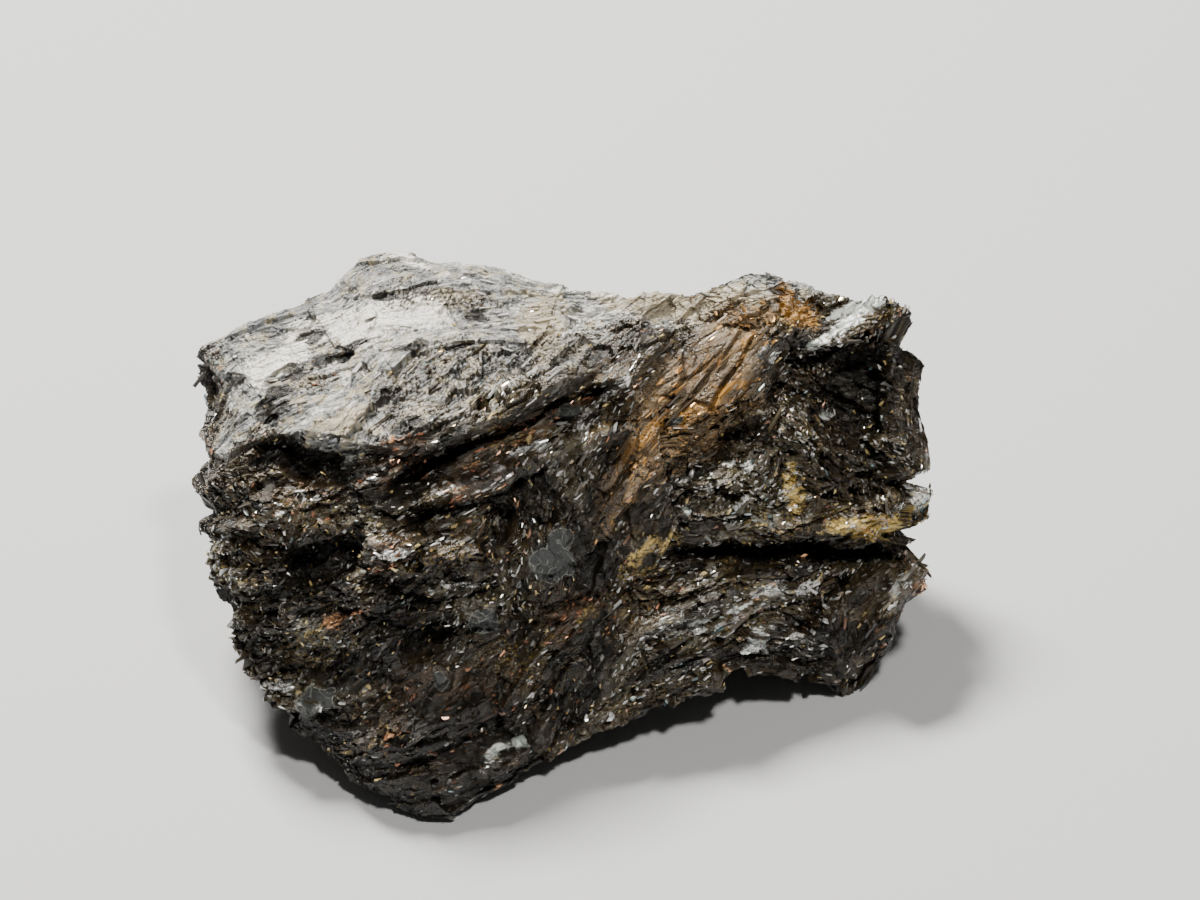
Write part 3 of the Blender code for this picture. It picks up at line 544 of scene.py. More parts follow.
paint = {
    # lower border of the weathered top, as across and rise
    "dustLine": (
        (-27.5, 12.6), (-25.5, 14), (-21, 16.3), (-17.8, 15.6), (-14.4, 15.2), (-12.1, 15.6),
        (-6, 18.2), (-0.3, 20.2), (5.6, 23.9), (10.1, 25.3), (14, 25.9), (17.5, 25.9), (27.5, 27.5),
    ),
    "dustSoft": (-0.6, 1),
    "topFacing": (0.1, 0.5),
    "wander": 1.1,
    "wanderSize": 2.4,
    "freckles": 0.13,  # how much of each tint lies scattered outside its patches
    "freckleSwing": 0.2,
    "freckleSize": 4.5,
    "freckled": {"copper": (32, 1), "silverAndHighlight": (33, 1), "gold": (35, 0.5)},  # seed and share
    "frecklesLost": 0.4,  # of them, on the back
    # patches of rust and of grey dust round the back
    "rust": (0.35, 0.7),
    "rustSize": 7,
    "rustBehind": 0.5,
    "grey": (0.2, 0.8),
    "greySize": 4,
    "greyBehind": 0.3,
    "patchShare": 0.75,
    "bronzeShare": 0.9,
    "bareShare": 0.6,  # how much dust is missing in a bare patch
    # across, rise, half length, half width, turn of each soft patch
    # pale cream dust on the top, painted brightest where the top's highlight falls
    "creamAndHighlight": [
        (-13.6, 24.3, 5.4, 1.5, 8), (-11.6, 28.6, 1.8, 0.4, 0), (-20.5, 22, 3, 1, 20),
        (1.8, 26.9, 2.4, 0.3, 0),
    ],
    "tan": [
        (9.4, 26.2, 6, 1.5, -6), (-1.6, 23.8, 1.3, 2.6, 10), (-8.4, 26.2, 2.6, 0.8, 8),
        (-14.6, 17.8, 0.9, 0.9, 60),
    ],
    "bronze": [(9.8, 19.8, 7.4, 3.1, 52), (3.9, 12.4, 3.4, 0.9, 60), (13.4, 24.4, 2.4, 1, 20)],
    "orange": [
        (16.6, 25.9, 1.5, 1, -42), (9, 17.8, 1.3, 0.6, 45), (11.8, 19.4, 2, 0.34, 43),
        (13.2, 22.8, 0.9, 0.4, 45), (5.4, 15.2, 1.4, 0.5, 52), (6.6, 17, 0.9, 0.3, 50),
    ],
    "gold": [(22.2, 9.5, 3.2, 1.3, 12), (16.8, 12.4, 1.8, 0.7, 70), (6, 8, 2, 1, 40)],
    "copper": [
        (-11.4, 14.6, 2.6, 1, 35), (-6, 13.2, 2.4, 1, 30), (-15.4, 3.6, 1.6, 0.9, 20),
        (-9, -4, 5, 3.6, 20), (-12, 8, 2, 1, 60), (26, 5.6, 3, 0.4, 50),
        (-3, 16.4, 6, 0.9, 28), (1, 5, 2, 4, 0),
    ],
    # silvery fibres, and painted highlights on lit ledges and ridges
    "silverAndHighlight": [
        (11.4, 3.2, 6.4, 0.9, 22), (24, 5.4, 2, 0.3, 52), (16.8, 0.6, 2.4, 0.5, -8),
        (-4.6, 12.2, 5, 1.2, 24), (25.6, 11.6, 1.8, 0.9, 30), (-20, 3, 4, 3, 0),
        (14, 10, 4, 1.4, 20), (-3, 17.6, 5, 1.6, 30), (-4, -6.4, 1.4, 0.9, 40),
    ],
    # where dust is missing on the top
    "bare": [
        (-9, 20.6, 5, 2, 24), (-2.4, 21, 4.6, 1.6, 30), (-18, 20.4, 1.6, 1, 15),
        (-9.6, 18, 3.4, 1.2, 25), (3.6, 22.6, 3, 0.9, 38), (-24.6, 18.6, 1.2, 1.6, 0),
        (-8.6, 26.2, 4, 0.8, 0), (-25.6, 22.2, 1.2, 1, 60),
    ],
    # darker zones: painted shade in hollows, clefts and under overhangs, and darker rock
    "shadeAndDark": [
        (-17.3, 6.9, 3.4, 2.3, 30), (-10.5, 13.9, 4, 1, 35), (-17.4, 14.4, 4.2, 1.1, -5),
        (-2.5, 12, 2.2, 2.4, 60), (-10.6, -7.2, 7.5, 4.2, 10), (-6, -9.6, 6, 2.2, 12),
        (-8, -6, 6, 3.6, 12), (-19, -6, 3, 2, 0), (21, 20.4, 3, 2, 60),
        (15.8, 8, 9, 0.8, 2), (-11.5, 3.6, 3, 2.4, 20), (4.4, 15, 1.8, 1.3, 40),
        (3, 11.6, 2.6, 1.2, 62), (1, 8.6, 2.4, 3, 60), (18.6, 1, 3, 0.8, 20),
        (-15.6, -0.6, 3, 1.2, 10), (24.6, 3.2, 3, 0.7, 50), (17.6, 1.8, 2.6, 0.3, 8),
        (1.4, -0.6, 3.6, 2.4, 60), (16.4, 3.4, 2, 0.5, 20), (8, -0.2, 3, 0.5, 20),
    ],
    # paler zones: painted light on lit ledges and ridges, and paler rock
    "lightAndPale": [
        (-2.9, 13.6, 7.4, 0.8, 18), (12.2, 3.3, 8.4, 1.3, 20), (14.5, 13.4, 4.4, 2.4, 30),
        (-7, 4.8, 3.4, 1.2, -5), (-24.6, 5, 1.6, 4.4, 0), (-20.2, -2.2, 2.8, 1.3, 0),
        (-4.4, -6.5, 1.3, 0.9, 40), (6, -2, 5, 1, 20), (24.4, 5.6, 2, 0.35, 52),
        (15.2, 5.2, 4.2, 0.35, 13), (15.8, 2.8, 2.2, 0.35, 26), (22.6, 10.1, 3.4, 1.4, 14),
        (2.6, 17.6, 3, 0.9, 42), (-19.4, 11, 3.6, 0.8, 10),
    ],
    # pale crust, and painted white glints, with sharp edges
    "crustAndGlint": [
        (18.7, 23.3, 1.5, 0.36, 32), (20.6, 24.6, 1.5, 0.46, 42), (22.1, 25.8, 1.6, 0.66, 24),
        (20.6, 25.6, 1.2, 0.3, 30), (-4.6, -6, 0.9, 0.42, 20), (13.9, 1.2, 0.6, 0.45, -8),
        (19.1, 17.9, 0.35, 0.25, 0), (26.2, 11.7, 0.7, 0.4, 30), (8.9, 11.2, 0.26, 0.2, 0),
        (-26.8, 9.6, 0.35, 0.4, 0), (-3, -5.4, 0.3, 0.5, 60), (12.8, 4.3, 0.9, 0.16, 25),
        (15.2, 5.5, 0.9, 0.16, 25), (9.9, 2.9, 0.7, 0.16, 20),
    ],
    # small dark pits with sharp edges
    "pits": [
        (-17.2, 21.9, 0.8, 0.5, 10), (-18.7, 20.9, 0.9, 0.4, 15), (-20.3, 19.4, 1.1, 0.6, 12),
        (-20.5, 18.1, 1.4, 0.45, 15), (-18.1, 23.7, 1.2, 0.4, 22), (-15, 22.8, 1.1, 0.45, 35),
        (-10.4, 22.8, 0.7, 0.5, 20), (-7.9, 22.6, 0.9, 0.4, 30), (-27.2, 21.9, 1, 1.3, 0),
        (-23.4, 20.4, 0.7, 0.4, 20), (-12.4, 19.4, 1.3, 0.5, 30), (-11, 17.2, 1.2, 0.4, 28),
        (-5.6, 20.6, 1.2, 0.3, 30), (-13, 26.6, 0.9, 0.4, 0), (-6.4, 25, 1, 0.4, 5),
    ],
    # painted highlights: near-white glints on cleavage faces
    "paintedGlint": [
        (-5.4, 14.1, 1.5, 0.24, 28), (-2.8, 15.2, 1.5, 0.3, 32), (-8.4, 12.6, 2.2, 0.14, 22),
        (-5, 12.9, 1.6, 0.14, 20), (1.9, 17.7, 0.9, 0.5, 40), (3.4, 19.6, 1.8, 0.22, 44),
        (10.5, 2.6, 1.1, 0.55, 15), (5.5, 1.4, 1.1, 0.34, 20), (12.7, 4, 1.1, 0.32, 25),
        (14.9, 5.1, 1.5, 0.36, 25), (17.4, 5.3, 1.3, 0.34, 24), (14.2, 2.5, 1, 0.26, 12),
        (13.9, 0.6, 0.9, 0.6, -8), (24.4, 4.6, 1.6, 0.2, 52), (22, 1.6, 1, 0.24, 56),
        (26.1, 11.7, 1, 0.75, 30), (8.9, 11.3, 0.36, 0.26, 0), (17.6, 10.8, 0.3, 1, 10),
        (-26.8, 9.8, 0.6, 0.9, 10), (-13.3, 13.7, 0.7, 0.5, 30), (-4.4, -6.4, 1.3, 0.7, 35),
        (-19.9, -1.5, 1.3, 0.4, 5), (-19, -2.9, 0.9, 0.3, 0), (14.9, 22.4, 0.55, 0.45, 0),
        (19, 18, 0.5, 0.34, -20), (12.4, 14.2, 1.2, 0.3, -10), (8, 13, 1.4, 0.3, 30),
        (13, 11.6, 0.8, 0.3, -20), (16.9, 1.6, 1.8, 0.24, -12), (17.6, 0.9, 1.6, 0.22, -12),
        (-25.6, 4.4, 0.7, 0.3, 20), (-18.4, 1.6, 1.2, 0.22, 15), (-12.2, 8, 1.2, 0.26, 5),
        (-7.4, 6, 1.8, 0.26, -6), (-24.4, -0.4, 0.9, 0.3, 10), (-17.3, -2.9, 0.3, 0.3, 0),
        (6.9, -3.6, 0.8, 0.3, 20), (10, -2.4, 0.8, 0.24, -5), (-21, 10.4, 1.2, 0.22, 20),
        (-25.4, 14.4, 0.9, 0.4, 35),
    ],
    # painted coppery and orange glints
    "paintedOrangeGlint": [
        (-11.2, 14.5, 1, 0.3, 38), (-6.4, 14.4, 0.9, 0.2, 30), (-15.6, 3.5, 1.6, 0.3, 16),
        (18.6, 18.9, 0.4, 0.3, 0), (-22.2, -3.7, 0.3, 0.4, 0), (-7.7, -8.5, 0.2, 0.2, 0),
        (-4.2, -8.9, 0.4, 0.2, 20), (-6.6, -11, 0.3, 0.2, 0), (-3.3, 11.4, 0.3, 0.6, -20),
        (3.3, 2.3, 0.2, 0.6, -10), (12, -0.8, 0.2, 0.5, 10), (-12, -4.6, 1.2, 0.2, 32),
        (-12.4, 16, 0.7, 0.3, 40), (8.4, 5.6, 0.5, 0.2, 20), (26, 5, 2, 0.14, 50),
        (17.2, 7.9, 0.4, 0.3, 20),
    ],
    # yellow, brassy grains
    "brass": [
        (21.4, 9.4, 2.8, 1, 10), (23.2, 9.2, 1.4, 0.7, 20), (-13, -4.8, 1.2, 0.3, 34),
        (16.8, 12.8, 0.5, 1.2, 0), (15.8, 24.6, 0.4, 0.9, 40), (-15, -5.6, 1, 0.3, 20),
        (5.8, 5.8, 0.7, 0.4, 20), (1.6, 3.6, 0.7, 0.5, 60),
    ],
    # smooth dark glassy grains
    "glass": [
        (-0.7, 7.3, 1.5, 1.25, 0), (-0.1, 8.9, 0.9, 0.8, 40), (-5.6, 3.3, 1.2, 0.95, 20),
        (-17.6, -2.6, 1.6, 1, 15), (0.5, 18, 0.9, 0.75, 30), (-8.6, -0.9, 0.55, 0.75, 0),
        (8.2, 17.4, 0.6, 0.4, 40),
    ],
    # painted blue-green glints on cleavage faces
    "paintedTealGlint": [
        (25.9, 11.2, 0.7, 0.35, 30), (-26.9, 9.6, 0.5, 0.6, 0), (9, 11.2, 0.3, 0.2, 0),
        (11.2, 2.4, 0.4, 0.2, 20), (14.3, 22, 0.4, 0.24, 0), (13.6, 14.4, 0.3, 0.2, 0),
        (-9.6, 21.6, 0.6, 0.2, 30),
    ],
    # share of the grains that each spray takes at its middle
    "spray": {"paintedGlint": 0.82, "paintedOrangeGlint": 0.42, "brass": 0.7, "paintedTealGlint": 0.55},
    # squared distances, 1 on the ellipse, between which each kind of patch fades out
    "softEdge": (0.35, 1.9),
    "sprayEdge": (0.1, 2.6),
    "sharpEdge": (0.75, 1.25),
    "grainEdge": 0.1,  # softness of each grain's edge in a spray
    "lotSwing": 1.2,  # how much the lots break up an edge
    "lathEdge": (0.42, 0.72),  # mask values between which a lath turns
    "faint": (0.02, 0.15),  # and between which the faintest begin to show
    "edgeWander": 0.34,
    "edgeSize": 0.9,
    # streaks of paler and darker laths, and strips of silvery faces and painted highlights: stretch of the
    # lath coordinates
    "zoneSwing": 0.75,
    "streaks": (0.3, 0.95, 0.95),
    "blotches": 0.6,
    "blotchSize": 3.4,
    "strips": (0.45, 2.2, 2.2),
    "stripEdge": (-0.3, 0.15),
    "tone": (0.17, 0.58, 0.4),  # least tone, then the shares of a lath's lot and of its zone
    # how much painted shade the shaded and darker patches add, and how far they lower the zone
    "shadeDepth": 0.75,
    "dimZone": 1.1,
    "behindDim": 0.5,
    "facing": (-0.05, 0.25),  # how far a surface faces the viewer where front finishes set in
}


# squared distance from the nearest of a label's ellipses, 1 on its edge
def nearestSpot(label, across, rise):
    return np.min([inEllipse(across, rise, *spot) for spot in paint[label]], axis=0)


# the same at points that stray by a small drift, so that the edge is uneven
def unevenSpot(label, points):
    stray = points + paint["edgeWander"] * drift(points, paint["edgeSize"], (24, 25, 26))
    return nearestSpot(label, stray @ faceAcross, stray @ faceRise)


# a soft patch: 1 well inside its ellipses, easing to 0 outside them
def patch(label, across, rise):
    return 1 - ease(nearestSpot(label, across, rise), *paint["softEdge"])


# a patch that is a spray of grains: the nearer its middle, the more of the lots are in it
def grainy(label, points, lot):
    inside = 1 - ease(unevenSpot(label, points), *paint["sprayEdge"])
    return ease(paint["spray"][label] * inside - lot, 0, paint["grainEdge"])


# a patch with a sharp edge, which the lots of the grains break up
def crisp(label, points, lot=0.5):
    return 1 - ease(unevenSpot(label, points) + paint["lotSwing"] * (lot - 0.5), *paint["sharpEdge"])


# a mask that breaks up into whole laths: each has its own lot, and the higher ones turn first
def dissolved(values, lot, number):
    own = (lot * (7 + 4 * number)) % 1 - 0.5
    return ease(values + own, *paint["lathEdge"]) * ease(values, *paint["faint"])


# masks from 0 to 1 at any points of the skin, from their place in the face view and their normals
def paintMasks(points, normals, lot, grain):
    stray = points + paint["wander"] * drift(points, paint["wanderSize"], (21, 22, 23))
    across, rise = stray @ faceAcross, stray @ faceRise
    shown = ease(normals @ faceOut, *paint["facing"])
    line = np.interp(across, *np.array(paint["dustLine"]).T)
    above = ease(rise - line + paint["lotSwing"] * (lot - 0.5), *paint["dustSoft"])
    behind = 1 - shown
    labels = ("tan", "bronze", "orange", "gold", "copper", "silverAndHighlight", "bare", "lightAndPale", "shadeAndDark")
    masks = {label: patch(label, across, rise) * shown for label in labels}
    pits = crisp("pits", points)
    sharp = {"crustAndGlint": crisp("crustAndGlint", points, grain) * shown, "glass": crisp("glass", points) * shown}
    for number, label in enumerate(paint["spray"]):
        sharp[label] = grainy(label, points, (grain * (3 + number)) % 1) * shown
    # dark pits join the patches of painted shade and darker rock
    masks["shadeAndDark"] = np.maximum(masks["shadeAndDark"], pits)
    # the zone: lifted by painted light, lowered by painted shade and round the back
    zone = masks.pop("lightAndPale") - paint["dimZone"] * masks["shadeAndDark"] - paint["behindDim"] * behind
    shadeAndDark = masks.pop("shadeAndDark")
    masks["creamAndHighlight"] = patch("creamAndHighlight", across, rise) * above * (1 - pits)
    rust = ease(lumps(points, paint["rustSize"], 31), *paint["rust"])
    bronze = paint["bronzeShare"] * masks["bronze"]
    masks["bronze"] = np.maximum(bronze, paint["rustBehind"] * behind * rust)
    for label, (seed, share) in paint["freckled"].items():
        freckles = paint["freckles"] + paint["freckleSwing"] * lumps(points, paint["freckleSize"], seed)
        freckles *= share * (1 - paint["frecklesLost"] * behind)
        masks[label] = np.maximum(paint["patchShare"] * masks[label], freckles)
    bare = np.maximum(paint["bareShare"] * masks.pop("bare"), pits)
    dust = above * ease(normals[..., 2], *paint["topFacing"]) * (1 - bare)
    grey = ease(lumps(points, paint["greySize"], 34), *paint["grey"])
    masks["dust"] = np.maximum(dust, paint["greyBehind"] * behind * grey)
    masks = {label: dissolved(values, lot, n) for n, (label, values) in enumerate(masks.items())}
    return masks | sharp, zone, shadeAndDark


# box blur over near neighbours, wrapping round the stone
def blurred(values, rounds):
    for _ in range(rounds):
        values = (values + np.roll(values, 1, axis=1) + np.roll(values, -1, axis=1)) / 3
        values[1:-1] = (values[:-2] + values[1:-1] + values[2:]) / 3
    return values


# how deep a point lies below its surroundings, which the skin shows as painted shade: darker in grooves and
# hollows
recessShade = {
    "smooth": 6,  # rounds of blur
    "narrow": 4,
    "wide": 60,
    "shallow": 0.25,  # millimetres for full shade
    "shallowRange": (-0.4, 0.8),
    "cavern": 0.9,
    "cavernRange": (-0.3, 1.0),
    "range": (-0.4, 1),
}


# loft + normal * (laths + lumps - loss) + view * relief, then the bites, then the ground at z = 0
def growStone():
    smooth = loftGrid(stone)
    normals = gridNormals(smooth, stone["smoothRounds"])
    skin = lathField(smooth, normals)
    glassy = crisp("glass", smooth)
    facets, _ = grainHeights(smooth, glass["facet"], 91)
    skin["detail"] = skin["detail"] * (1 - glassy) + glass["facetHeight"] * facets * glassy
    heights = skin["height"] * (1 - glassy) + skin["detail"] + glass["lift"] * glassy - stone["skinLoss"]
    for seed, (size, height) in enumerate(stone["lumps"], start=1):
        heights = heights + height * lumps(smooth, size, seed)
    rows = np.arange(stone["along"]) / stone["along"]
    heights *= np.clip(np.minimum(rows, rows[::-1]) / stone["poleCalm"], 0, 1)[:, None]
    strayed = smooth + relief["wander"] * drift(smooth, relief["wanderSize"], (3, 4, 5))
    shown = np.clip((normals @ faceOut - relief["facesFrom"]) / relief["facesOver"], 0, 1)
    height = faceRelief(strayed @ faceAcross, strayed @ faceRise) * shown
    # depth below the near and the wide surroundings, for the painted shade in grooves and hollows
    shallow = blurred(skin["detail"], recessShade["smooth"]) - skin["detail"]
    cavern = blurred(heights + height, recessShade["wide"]) - blurred(heights + height, recessShade["narrow"])
    skin["deep"] = np.clip(shallow / recessShade["shallow"], *recessShade["shallowRange"])
    skin["deep"] += np.clip(cavern / recessShade["cavern"], *recessShade["cavernRange"])
    grid = bitten(smooth + normals * heights[..., None] + faceOut * height[..., None])
    grid[..., 2] = np.maximum(grid[..., 2], 0)
    skin["grid"] = grid + np.array(stone["standAt"])
    skin["smoothNormals"] = normals
    skin["normals"] = gridNormals(grid, stone["fineRounds"])
    return skin


# Two triangles for each quad between the rows and columns that a block takes of the grid, split along
# the shorter diagonal. The end rows are one point each, so what is flat there is dropped.
def blockTriangles(grid, rows, columns):
    ids = np.arange(grid.shape[0] * grid.shape[1]).reshape(grid.shape[:2])
    ids[0], ids[-1] = ids[0, 0], ids[-1, 0]
    columns = np.arange(*columns)
    beside = (columns + 1) % grid.shape[1]
    low, high = ids[rows[:-1]], ids[rows[1:]]
    corners = (low[:, columns], high[:, columns], high[:, beside], low[:, beside])
    a, b, c, d = (corner.ravel() for corner in corners)
    points = grid.reshape(-1, 3)
    across, other = (np.linalg.norm(points[p] - points[q], axis=1) for p, q in ((a, c), (b, d)))
    straight = across < other
    first = np.where(straight, (a, b, c), (a, b, d)).T
    second = np.where(straight, (a, c, d), (b, c, d)).T
    triangles = np.concatenate([first, second])
    ends = np.roll(triangles, -1, axis=1)
    return triangles[np.all(triangles != ends, axis=1)]


# The block's open edge is joined to a core line inside the stone, which has one point for each row of
# the grid, so that the piece is closed and neighbours share the wall between them.
def closedBlock(grid, triangles):
    along, around = grid.shape[:2]
    count = along * around
    core = np.column_stack([np.clip(grid[:, 0, 0], *stone["coreEnds"]), np.tile(stone["core"], (along, 1))])
    start, end = triangles.ravel(), np.roll(triangles, -1, axis=1).ravel()
    rim = ~np.isin(start * count + end, end * count + start)
    start, end = start[rim], end[rim]
    coreStart, coreEnd = count + start // around, count + end // around
    wall = [np.column_stack([end, start, coreStart]), np.column_stack([end, coreStart, coreEnd])]
    wall = np.concatenate(wall)
    wall = wall[np.all(wall != np.roll(wall, -1, axis=1), axis=1)]
    used, faces = np.unique(np.concatenate([triangles, wall]), return_inverse=True)
    points = np.vstack([grid.reshape(-1, 3), core])[used]
    return points, faces.reshape(-1, 3), np.where(used < count, used, (used - count) * around)


# One material and its node tree. Most methods add a node and give its output, and a colour goes by
# its name in colours.
class Nodes:
    def __init__(self, name, ior, metallic=0.0):
        self.material = bpy.data.materials.new(name)
        self.material.use_nodes = True
        self.tree = self.material.node_tree
        self.shader = self.tree.nodes["Principled BSDF"]
        self.feed({"IOR": ior, "Metallic": metallic}, self.shader)

    def feed(self, values, node):
        for label, value in values.items():
            if isinstance(value, bpy.types.NodeSocket):
                self.tree.links.new(value, node.inputs[label])
            else:
                value = (*colours[value], 1.0) if isinstance(value, str) else value
                node.inputs[label].default_value = value

    def add(self, kind, values, **settings):
        node = self.tree.nodes.new(f"ShaderNode{kind}")
        for label, setting in settings.items():
            setattr(node, label, setting)
        self.feed(values, node)
        return node.outputs

    def finish(self, colour, roughness, **more):
        self.feed({"Base Color": colour, "Roughness": roughness, **more}, self.shader)
        return self.material

    def mask(self, label):
        return self.add("Attribute", {}, attribute_name=label)["Fac"]

    # the lath's own coordinates (along, beside, out) in millimetres, stretched
    def fibres(self, *stretch):
        space = self.add("Attribute", {}, attribute_name="lathSpace")["Vector"]
        return self.add("VectorMath", {0: space, 1: stretch}, operation="MULTIPLY")["Vector"]

    # on object coordinates, unless it is given others
    def noise(self, scale, detail=4.0, roughness=0.6, place=None):
        place = place or self.add("TexCoord", {})["Object"]
        values = {"Vector": place, "Scale": scale, "Detail": detail, "Roughness": roughness}
        return self.add("TexNoise", values)["Fac"]

    def ramp(self, value, *stops):
        outputs = self.add("ValToRGB", {"Fac": value})
        elements = outputs[0].node.color_ramp.elements
        while len(elements) < len(stops):
            elements.new(0.5)
        for element, (place, colour) in zip(elements, stops):
            element.position = place
            element.color = (*colours[colour], 1.0) if isinstance(colour, str) else (*[colour] * 3, 1.0)
        return outputs["Color"]

    # noise through a ramp
    def patches(self, scale, detail, *stops, place=None):
        return self.ramp(self.noise(scale, detail, place=place), *stops)

    def times(self, a, b):
        return self.add("Math", {0: a, 1: b}, operation="MULTIPLY")["Value"]

    def mixValue(self, factor, low, high):
        return self.add("Mix", {0: factor, 2: low, 3: high})[0]

    def mixColour(self, factor, low, high):
        return self.add("Mix", {0: factor, 6: low, 7: high}, data_type="RGBA")[2]

    # layers of colour: a mask and its share, then a colour or the stops of a ramp over the value
    def layered(self, colour, value, layers):
        for label, share, *stops in layers:
            top = stops[0] if isinstance(stops[0], str) else self.ramp(value, *stops)
            factor = self.mask(label) if share == 1 else self.times(self.mask(label), share)
            colour = self.mixColour(factor, colour, top)
        return colour

    def bump(self, height, strength, distance, under=None):
        values = {"Strength": strength, "Distance": distance, "Height": height}
        if under:
            values["Normal"] = under
        return self.add("Bump", values)["Normal"]


colours = {
    "black": (0.0052, 0.0044, 0.0030),
    "umber": (0.029, 0.0185, 0.0066),
    "olive": (0.060, 0.048, 0.022),
    "steel": (0.125, 0.120, 0.100),
    "slate": (0.036, 0.040, 0.042),
    "slatePale": (0.125, 0.132, 0.134),
    "dustDark": (0.13, 0.125, 0.105),
    "dust": (0.315, 0.318, 0.30),
    "dustPale": (0.70, 0.70, 0.66),
    "creamAndHighlight": (0.95, 0.92, 0.84),
    "tan": (0.44, 0.37, 0.25),
    "bronzeDark": (0.045, 0.027, 0.012),
    "bronze": (0.20, 0.122, 0.052),
    "bronzePale": (0.30, 0.205, 0.09),
    "bronzeGrey": (0.135, 0.108, 0.072),
    "orange": (0.33, 0.165, 0.032),
    "crustAndGlint": (0.93, 0.97, 0.93),
    "gold": (0.84, 0.60, 0.17),
    "copper": (0.064, 0.032, 0.016),
    "copperPale": (0.22, 0.125, 0.062),
    # silver is partly painted highlight; the near-white, orange and blue-green that follow are painted glints
    "silverAndHighlight": (0.46, 0.46, 0.435),
    "paintedGlint": (0.90, 0.91, 0.90),
    "paintedOrangeGlint": (0.92, 0.50, 0.26),
    "brass": (0.95, 0.72, 0.28),
    "paintedTealGlint": (0.16, 0.36, 0.42),
    "glass": (0.040, 0.044, 0.042),
    "crack": (0.34, 0.35, 0.31),
    "mintDark": (0.30, 0.36, 0.31),
    "straw": (0.60, 0.50, 0.31),
    "blueGrey": (0.20, 0.215, 0.235),
    "brightGlint": (0.75, 0.76, 0.77),
    "copperGlint": (0.75, 0.32, 0.17),
    "bronzeGlint": (0.6, 0.33, 0.12),
    "floor": (0.49, 0.502, 0.518),
}


skinLook = {
    "ior": 1.62,
    # a grain's lot is mixed from its tone, its fleck and streaks along the laths
    "streaks": (1.0, 5.0, 0.7),
    "streakStretch": (0.5, 5.0, 5.0),
    "streakShare": 0.62,
    "fineShare": 0.52,
    "rock": ((0.3, "black"), (0.52, "umber"), (0.68, "olive"), (0.85, "steel")),
    # tints: copper, silvery fibres with painted highlights, and gold
    "tints": (
        ("copper", 0.7, (0.3, "black"), (0.5, "copper"), (0.78, "copperPale")),
        ("silverAndHighlight", 0.9, (0.36, "umber"), (0.56, "steel"), (0.76, "silverAndHighlight")),
        ("gold", 0.8, (0.3, "umber"), (0.6, "gold")),
    ),
    "bronze": ((0.12, "bronzeDark"), (0.45, "bronze"), (0.85, "bronzePale")),
    "blotches": (520.0, 3.0, (0.42, 0.0), (0.6, 0.8)),
    # silky dust, from slate to white by its fibres, with straw and bluish patches
    "silkShare": 0.24,
    "silk": ((0.36, 0.0), (0.64, 1.0)),
    "dust": ((0.28, "slate"), (0.40, "slatePale"), (0.53, "dust"), (0.66, "dustPale")),
    "warm": (820.0, 4.0, (0.5, 0.0), (0.62, 0.55)),
    "cool": (1.0, 4.0, (0.54, 0.0), (0.66, 0.7)),
    "coolStretch": (0.25, 1.1, 1.1),
    # tan and cream dust, the cream with painted highlight
    "dustTints": (("tan", 0.8, "tan"), ("creamAndHighlight", 0.8, "creamAndHighlight")),
    # painted shade: how far the deep mask darkens the colour towards black
    "shade": ((0.0, 0.0), (1.0, 0.8)),
    # glassy grains have pale cracks, which other noise breaks up, and a pale rim
    "cracks": (900.0, 0.6, (0.48, 0.0), (0.5, 0.7), (0.52, 0.0)),
    "breaks": (1800.0, 1.0, (0.4, 0.0), (0.6, 1.0)),
    "rim": ((0.3, 0.0), (0.55, 0.8), (0.8, 0.0)),
    # crust, and painted white glints
    "crustAndGlint": (("crustAndGlint", 1, (0.3, "mintDark"), (0.46, "crustAndGlint")),),
    # painted highlights and glints, and brassy grains, each with the colour of its darker grains
    "faces": (("paintedGlint", "steel"), ("paintedOrangeGlint", "copper"), ("brass", "umber"), ("paintedTealGlint", "black")),
    "faceStops": (0.4, 0.6),
    "specks": (6200.0, 2.0, (0.4, 0.15), (0.56, 1.0)),
    "rough": ((0.0, 0.1), (0.5, 0.2), (1.0, 0.4)),
    "dustRough": ((0.34, 0.24), (0.6, 0.62)),
    "creamRough": 0.8,
    "glassRough": 0.12,
    "grain": (4200.0, 4.0, 0.7),
    # strength and depth in metres
    "grainBump": (0.7, 0.00012),
    "streakBump": (0.8, 0.00018),
}


